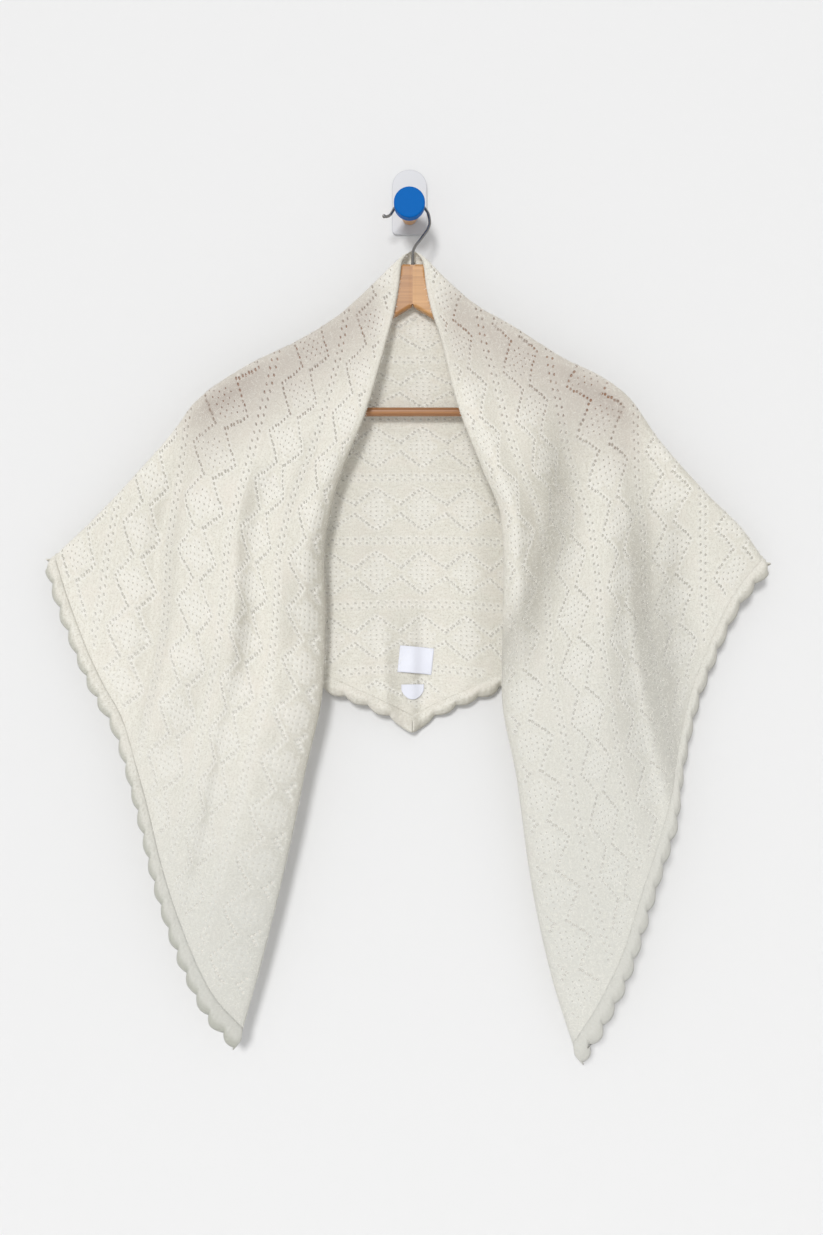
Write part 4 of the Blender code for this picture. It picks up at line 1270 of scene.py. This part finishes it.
def edging_strip(name, sides, first, last, shells):
    """Edging from first to last: 0 is a front's tip, 1 the corner over the arm and 2 the back's point."""
    bm = bmesh.new()
    for way in sides:
        base = add_piece("shell", shell_mesh())
        strip = run_tree(base, crochet_strip, {"Shells": shells, "Yarn": crochet_yarn}, name)
        bpy.data.objects.remove(base, do_unlink=True)
        along, out, relief = places_of(strip).T
        along = along / shells
        s, t = strip_places(along, out, first, last, way)
        hung = drape(s, t)
        move_to(strip, hung)
        if last == 2:
            relief = relief * smooth_step((1 - along) / POINT_SHARE)
        normals = vertex_normals(strip)
        to_viewer = -np.sign(normals[:, 1].mean())
        move_to(strip, hung + normals * (to_viewer * relief)[:, None])
        store_vectors(strip, "flat", on_flat(s, t))
        # painted shade towards the fronts' tips, and on the turned-under rim
        store(strip, "tip_shade_paint", tip_shade_paint(s) * (first < 1))
        store(strip, "underside_shade_paint", UNDERSIDE_SHADE_SHARE[name] * smooth_step((out - UNDERSIDE_SHADE_FROM) / UNDERSIDE_SHADE_OVER))
        bm.from_mesh(strip)
    bmesh.ops.remove_doubles(bm, verts=bm.verts, dist=POINT_SEAM)
    bmesh.ops.recalc_face_normals(bm, faces=bm.faces)
    mesh = mesh_from(bm, name)
    mesh.shade_smooth()
    piece = add_piece(name, mesh, crochet_yarn)
    thicken(piece, STRIP_THICKNESS)
    print(name, "with", len(sides) * shells, "shells")
    return piece


edging_front_left = edging_strip("crochet_edging_front_left", (-1,), 0, 1, FRONT_SCALLOPS)
edging_front_right = edging_strip("crochet_edging_front_right", (1,), 0, 1, FRONT_SCALLOPS)
edging_back = edging_strip("crochet_edging_back", (-1, 1), 1, 2, BACK_SCALLOPS)

# %% [markdown]
# ## Brushed halo
#
# Brushing pulls the ends of the wool's hairs out of the yarn, and they blur the shawl's outline. Geometry
# Nodes scatters short curved hairs over each cloth piece, leaning at random, with a fixed seed. A hair here
# is a narrow ribbon, thicker than a real one of 0.02 mm, so that fewer of them give the same soft edge.

# %% Hair tree
HAIR_LENGTH = 6.5 * MM
HAIR_WIDTH = 0.16 * MM
HAIRS = 42000  # on each piece
HAIR_CURVE = 90.0  # metres that a hair droops for each square metre of reach
HAIR_LEAN = 0.75  # radians by which it may tip off the cloth
HAIR_SPIN = 6.283  # radians, all the way round
HAIR_SIZES = (0.5, 1.3)  # shares of the length and the width
FIRST_SEED = 3


def hair_tree():
    tree, given = new_tree(
        "brushed hairs",
        {
            "Cloth": "Geometry",
            "Hair length": "Float",
            "Hair width": "Float",
            "Hairs per area": "Float",
            "Seed": "Int",
            "Yarn": "Material",
        },
        "Hairs",
    )
    ribbon = add_node(
        tree,
        "GeometryNodeMeshGrid",
        {"Size X": given["Hair length"], "Size Y": given["Hair width"], "Vertices X": 3, "Vertices Y": 2},
    )
    place = add_node(tree, "GeometryNodeInputPosition")
    reach = add_node(tree, "ShaderNodeSeparateXYZ", {0: place.outputs[0]}).outputs[0]
    droop = reckoned(tree, "MULTIPLY", reckoned(tree, "MULTIPLY", reach, reach), -HAIR_CURVE)
    lift = add_node(tree, "ShaderNodeCombineXYZ", {"Z": droop})
    bent = add_node(
        tree, "GeometryNodeSetPosition", {"Geometry": ribbon.outputs["Mesh"], "Offset": lift.outputs[0]}
    )
    roots = add_node(
        tree,
        "GeometryNodeDistributePointsOnFaces",
        {"Mesh": given["Cloth"], "Density": given["Hairs per area"], "Seed": given["Seed"]},
        distribute_method="RANDOM",
    )
    low, high = (-HAIR_LEAN, -HAIR_LEAN, 0.0), (HAIR_LEAN, HAIR_LEAN, HAIR_SPIN)
    spin = add_node(
        tree, "FunctionNodeRandomValue", {0: low, 1: high, "Seed": given["Seed"]}, data_type="FLOAT_VECTOR"
    )
    turned = add_node(
        tree,
        "FunctionNodeRotateRotation",
        {"Rotation": roots.outputs["Rotation"], "Rotate By": spin.outputs[0]},
        rotation_space="LOCAL",
    )
    small, large = HAIR_SIZES
    size = add_node(
        tree, "FunctionNodeRandomValue", {2: small, 3: large, "Seed": given["Seed"]}, data_type="FLOAT"
    )
    placed = add_node(
        tree,
        "GeometryNodeInstanceOnPoints",
        {
            "Points": roots.outputs["Points"],
            "Instance": bent.outputs[0],
            "Rotation": turned.outputs[0],
            "Scale": size.outputs[1],
        },
    )
    real = add_node(tree, "GeometryNodeRealizeInstances", {"Geometry": placed.outputs[0]})
    done = add_node(tree, "GeometryNodeSetMaterial", {"Geometry": real.outputs[0], "Material": given["Yarn"]})
    hand_out(tree, done)
    return tree


def wool_hair():
    finish, _, shader = new_finish("wool_hair", 0.7)
    shader.inputs["Base Color"].default_value = colour("#F8F6EE")
    shader.inputs["Sheen Weight"].default_value = 0.3
    return finish


brushed_hairs = hair_tree()
hair_finish = wool_hair()
print("hairs", HAIR_LENGTH / MM, "mm long,", HAIRS, "on each piece")


# %% Hairs on the cloth
def halo(name, cloth, seed):
    """Hairs over a piece of cloth, as one mesh."""
    base = add_piece("roots", cloth.data.copy())
    sizes = {
        "Hair length": HAIR_LENGTH,
        "Hair width": HAIR_WIDTH,
        "Hairs per area": HAIRS / sum(face.area for face in cloth.data.polygons),
        "Seed": seed,
        "Yarn": hair_finish,
    }
    mesh = run_tree(base, brushed_hairs, sizes, name)
    bpy.data.objects.remove(base, do_unlink=True)
    piece = add_piece(name, mesh)
    print(name, triangles(piece), "triangles")
    return piece


halos = {}
for seed, cloth in enumerate((lace_back, lace_front_left, lace_front_right), start=FIRST_SEED):
    halos[cloth.name] = halo(cloth.name.replace("lace", "halo"), cloth, seed)

# %% [markdown]
# ## Labels
#
# Two satin labels are sewn inside the back point: a woven one, and under it a small care label with round
# lower corners. Both are left bare. Satin is smooth and bluish white beside the wool.

# %% Labels
def satin():
    finish, tree, shader = new_finish("white_satin_ribbon", 0.42)
    shader.inputs["Base Color"].default_value = colour("#E4E6F0")
    threads = add_node(
        tree,
        "ShaderNodeTexWave",
        {"Vector": stored(tree, "flat", "Vector"), "Scale": 900.0, "Distortion": 0.4},
        bands_direction="Y",
    )
    add_bump(tree, shader, threads.outputs["Fac"], 0.25, 0.1 * MM)
    shader.inputs["Sheen Weight"].default_value = 0.2
    return finish


Label = namedtuple("Label", "s t width height turn proud")  # turn in degrees, proud of the cloth in metres

MAIN_LABEL = Label(3.6 * MM, 457.2 * MM, 36.5 * MM, 30 * MM, turn=-5.5, proud=2.1 * MM)
CARE_LABEL = Label(0.2 * MM, 493.2 * MM, 24 * MM, 17 * MM, turn=0.0, proud=1.8 * MM)
MAIN_ARCH = 1.3 * MM
CARE_ARCH = 0.4 * MM
LABEL_THICKNESS = 0.5 * MM
LABEL_ROUNDNESS = 0.88  # of the care label's lower end, where 1 is half an oval
LABEL_COLUMNS = 25
LABEL_ROWS = 19
ARCH_TURN = 5.0  # radians of a cosine across a label
RIPPLE_SHARE = 0.35  # of the arch
RIPPLE_TURNS = (4, 3)  # radians down and across a label


def label_piece(name, label, rounded, arch):
    """A label sewn on the back. arch is how far its middle stands up from its sides."""
    columns, rows = np.linspace(-0.5, 0.5, LABEL_COLUMNS), np.linspace(-0.5, 0.5, LABEL_ROWS)
    across, down = np.meshgrid(columns, rows, indexing="ij")
    reach = np.sqrt(1 - LABEL_ROUNDNESS * (2 * across) ** 2) if rounded else 1
    right, below = across * label.width, ((down + 0.5) * reach - 0.5) * label.height
    turn = math.radians(label.turn)
    s = label.s + right * math.cos(turn) + below * math.sin(turn)
    t = label.t + below * math.cos(turn) - right * math.sin(turn)
    x, y, z = back_point(s, t)
    wave = np.sin(down * RIPPLE_TURNS[0] + across * RIPPLE_TURNS[1])
    ripple = arch * (np.cos(across * ARCH_TURN) - 0.5 + RIPPLE_SHARE * wave)
    bm = bmesh.new()
    bmesh.ops.create_grid(bm, x_segments=LABEL_ROWS - 1, y_segments=LABEL_COLUMNS - 1, size=1)
    places = np.stack([x, y - label.proud - ripple, z], axis=-1).reshape(-1, 3)
    for vert, place in zip(bm.verts, places):
        vert.co = place
    bmesh.ops.recalc_face_normals(bm, faces=bm.faces)
    mesh = mesh_from(bm, name)
    mesh.shade_smooth()
    store_vectors(mesh, "flat", on_flat(right.ravel(), below.ravel()))
    piece = add_piece(name, mesh, satin_finish)
    thicken(piece, LABEL_THICKNESS)
    print(f"{name}: {label.width / MM:.1f} by {label.height / MM:.1f} mm")
    return piece


satin_finish = satin()
main_label = label_piece("satin_label", MAIN_LABEL, False, MAIN_ARCH)
care_label = label_piece("satin_care_label", CARE_LABEL, True, CARE_ARCH)

# %% [markdown]
# ## Wood, wire, plate and cap
#
# The hanger's arms are oiled beech, mitred at the head, so their grain runs along each arm. The packed
# arms have rounded edges all round, so the glued joint between them is filled here, half with each arm's
# wood. The bar and the peg are turned from the same wood. Beech has fine straight grain with short dark
# flecks. The wire is drawn steel, the plate enamelled steel and the cap moulded plastic.

# %% Hard finishes
GRAIN_PER_METRE = 6.0  # along the wood
GRAIN_FROM_TO = (0.36, 0.66)  # where the grain's noise goes from dark to light
FLECKS_FROM_TO = (0.62, 0.72)
WIRE_ROUGHNESS = 0.18
WIRE_MARKS = 0.16  # how much rougher the drawn marks are


def object_place(tree):
    return add_node(tree, "ShaderNodeTexCoord").outputs["Object"]


def beech(name, light, dark, along, grain_size):
    """Beech whose grain runs along a direction. grain_size is the width of a grain line in metres."""
    finish, tree, shader = new_finish(name, 0.42)
    density = (GRAIN_PER_METRE, 1 / grain_size, 1 / grain_size)
    turned = add_node(
        tree, "ShaderNodeMapping", {"Vector": object_place(tree), "Rotation": along, "Scale": density}
    ).outputs[0]
    grain = noise(tree, turned, 0.35, detail=6.0, roughness=0.6)
    flecks = noise(tree, turned, 1.6)
    tone = mixed(tree, ramped(tree, grain, *GRAIN_FROM_TO), dark, light)
    tone = mixed(tree, ramped(tree, flecks, *FLECKS_FROM_TO), tone, dark)
    tree.links.new(tone, shader.inputs["Base Color"])
    add_bump(tree, shader, grain, 0.12, 0.3 * MM)
    shader.inputs["Coat Weight"].default_value = 0.25
    shader.inputs["Coat Roughness"].default_value = 0.3
    return finish


ARM_SLOPE = math.radians(26)
# the left arm is given darker beech than the right
beech_left = beech("oiled_beech_left", colour("#B8844E"), colour("#9C6A38"), (0, -ARM_SLOPE, 0), 1.6 * MM)
beech_right = beech("oiled_beech_right", colour("#CC9A60"), colour("#B07E48"), (0, ARM_SLOPE, 0), 1.6 * MM)
beech_bar = beech("oiled_beech_bar", colour("#B37F50"), colour("#865631"), (0, 0, 0), 1.1 * MM)
beech_peg = beech("oiled_beech_peg", colour("#D8AC7C"), colour("#BD8C5E"), (0, 0, math.pi / 2), 1.4 * MM)


def drawn_steel():
    finish, tree, shader = new_finish("drawn_steel_wire", 0.24, metallic=1.0)
    shader.inputs["Base Color"].default_value = colour("#8F8D8B")
    drawn = noise(tree, object_place(tree), 900.0)
    rough = reckoned(tree, "MULTIPLY_ADD", drawn, WIRE_MARKS, WIRE_ROUGHNESS)
    tree.links.new(rough, shader.inputs["Roughness"])
    return finish


def enamel():
    finish, tree, shader = new_finish("white_enamelled_steel", 0.38)
    shader.inputs["Base Color"].default_value = colour("#C9CACE")
    orange_peel = noise(tree, object_place(tree), 500.0, detail=1.0)
    add_bump(tree, shader, orange_peel, 0.06, 0.2 * MM)
    return finish


def cap_plastic():
    finish, tree, shader = new_finish("blue_moulded_plastic", 0.45)
    shader.inputs["Base Color"].default_value = colour("#0462B2")
    shader.inputs["Specular IOR Level"].default_value = 0.05
    mould_marks = noise(tree, object_place(tree), 1500.0, detail=1.0)
    add_bump(tree, shader, mould_marks, 0.15, 0.1 * MM)
    return finish


steel_finish = drawn_steel()
node_finishes = {
    "hanger_arm_left": beech_left,
    "hanger_arm_right": beech_right,
    "hanger_bar": beech_bar,
    "wall_peg": beech_peg,
    "hanger_hook": steel_finish,
    "wall_plate": enamel(),
    "peg_cap": cap_plastic(),
}
for node, finish in node_finishes.items():
    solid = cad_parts[node]
    solid.data.materials.clear()
    solid.data.materials.append(finish)
print("finished as packed:", ", ".join(node_finishes))

# %% Wire tip
TIP_RADIUS = 2.1 * MM
TIP_INSET = 0.9 * MM  # from the hook's leftmost point to the middle of its tip
TIP_Z = -0.0265


def wire_tip():
    """The hook's free end is upset to a small ball, so that it doesn't snag the cloth."""
    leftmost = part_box("hanger_hook")[0].x
    bm = bmesh.new()
    bmesh.ops.create_uvsphere(bm, u_segments=24, v_segments=16, radius=TIP_RADIUS)
    bmesh.ops.translate(bm, verts=bm.verts, vec=(leftmost + TIP_INSET, -HANGER_DEPTH, TIP_Z))
    mesh = mesh_from(bm, "hook_tip")
    mesh.shade_smooth()
    return add_piece("hook_tip", mesh, steel_finish)


hook_tip = wire_tip()
print("wire tip:", 2 * TIP_RADIUS / MM, "mm across")

# %% Glued mitre
MITRE_FILL = 2.7 * MM  # how far to either side the rounded edges leave room
MITRE_SUNK = 0.05 * MM  # the joint's face lies this far under the arms' faces
MITRE_DEPTH = 1.6 * MM
MITRE_TOP = 1.2 * MM  # below the top of the arms
MITRE_APEX_Z = -0.1214  # just above where the arms' undersides meet
MITRE_SLOPE = 0.6  # how steeply those undersides fall away from the middle


def mitre_half(name, way, finish):
    """One side of the glued joint between the two arms, planed nearly flush with them."""
    low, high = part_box("hanger_arm_left")
    bm = bmesh.new()
    bmesh.ops.create_cube(bm, size=1)
    for vert in bm.verts:
        out = MITRE_FILL * (0.5 + vert.co.x * way)
        y = low.y + MITRE_SUNK + MITRE_DEPTH * (0.5 + vert.co.y)
        z = high.z - MITRE_TOP if vert.co.z > 0 else MITRE_APEX_Z - MITRE_SLOPE * out
        vert.co = (HANGER_X + way * out, y, z)
    return add_piece(name, mesh_from(bm, name), finish)


mitre_halves = [
    mitre_half("glued_mitre_left", -1, beech_left),
    mitre_half("glued_mitre_right", 1, beech_right),
]
print("glued mitre:", len(mitre_halves), "halves")

# %% [markdown]
# ## Stage and light
#
# A pale wall stands behind the plate and a pale floor lies well below. The light is one distant but wide,
# soft lamp at the upper left, which draws a soft shadow just right of and below each edge, with an even
# white sky. Seen from behind, the wall is clear.

# %% Stage
WALL_Y = 0.0004
FLOOR_Z = -1.6
HALF_WIDTH = 4
WALL_TOP = 3
FLOOR_FRONT_Y = -5
FLOOR_BACK_Y = 4


def stage_paint(name, hex_code, one_sided):
    finish, tree, shader = new_finish(name, 0.95)
    shader.inputs["Base Color"].default_value = colour(hex_code)
    shader.inputs["Specular IOR Level"].default_value = 0.0
    if one_sided:
        backfacing = add_node(tree, "ShaderNodeNewGeometry").outputs["Backfacing"]
        show_both(tree, backfacing, shader, add_node(tree, "ShaderNodeBsdfTransparent"))
    return finish


def stage_plane(name, corners, finish):
    mesh = bpy.data.meshes.new(name)
    mesh.from_pydata(corners, [], [(0, 1, 2, 3)])
    add_piece(name, mesh, finish)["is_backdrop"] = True


stage_plane(
    "wall",
    [
        (-HALF_WIDTH, WALL_Y, FLOOR_Z),
        (HALF_WIDTH, WALL_Y, FLOOR_Z),
        (HALF_WIDTH, WALL_Y, WALL_TOP),
        (-HALF_WIDTH, WALL_Y, WALL_TOP),
    ],
    stage_paint("wall_paint", "#E6E6E6", True),
)
stage_plane(
    "floor",
    [
        (-HALF_WIDTH, FLOOR_FRONT_Y, FLOOR_Z),
        (HALF_WIDTH, FLOOR_FRONT_Y, FLOOR_Z),
        (HALF_WIDTH, FLOOR_BACK_Y, FLOOR_Z),
        (-HALF_WIDTH, FLOOR_BACK_Y, FLOOR_Z),
    ],
    stage_paint("floor_paint", "#F0F0F0", False),
)
print("wall at y", WALL_Y, "and floor at z", FLOOR_Z)

# %% Light
KEY_ANGLE = math.radians(13)  # how wide the lamp looks from the shawl
KEY_FROM = (-0.19, -1.0, 0.34)
KEY_STRENGTH = 1.62
SKY_STRENGTH = 0.585

key_data = bpy.data.lights.new("key", "SUN")
key_data.angle = KEY_ANGLE
key_data.energy = KEY_STRENGTH
key = bpy.data.objects.new("key", key_data)
key.rotation_euler = (-Vector(KEY_FROM)).to_track_quat("-Z", "Y").to_euler()
bpy.context.scene.collection.objects.link(key)

world = bpy.data.worlds.new("white sky")
world.use_nodes = True
world.node_tree.nodes["Background"].inputs["Color"].default_value = (1, 1, 1, 1)
world.node_tree.nodes["Background"].inputs["Strength"].default_value = SKY_STRENGTH
bpy.context.scene.world = world
bpy.context.scene.view_settings.view_transform = "Standard"
print("lamp", KEY_STRENGTH, "and sky", SKY_STRENGTH)

# %% [markdown]
# ## Attaching the pieces
#
# Each piece rides on the one rigid body, and the imported solid that it dresses is hidden.

# %% Ride and hide
dressed = {
    "shawl_back": (lace_back, "knit"),
    "shawl_front_left": (lace_front_left, "knit"),
    "shawl_front_right": (lace_front_right, "knit"),
    "edging_back": (edging_back, "crochet"),
    "edging_front_left": (edging_front_left, "crochet"),
    "edging_front_right": (edging_front_right, "crochet"),
    "main_label": (main_label, "label"),
    "care_label": (care_label, "label"),
}
for node, (piece, slot) in dressed.items():
    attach(piece, "root")
    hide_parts(node)
for piece in halos.values():
    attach(piece, "root")
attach(hook_tip, "root")
for half in mitre_halves:
    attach(half, "root")

print("dressed:", ", ".join(dressed))

# %% Sizes and finish
visual_box = [list(corner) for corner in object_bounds()]
for axis, name in enumerate("XYZ"):
    wide = [box[1][axis] - box[0][axis] for box in (cad_box, visual_box)]
    print(f"{name}: packed {wide[0]:.4f} m, dressed {wide[1]:.4f} m")
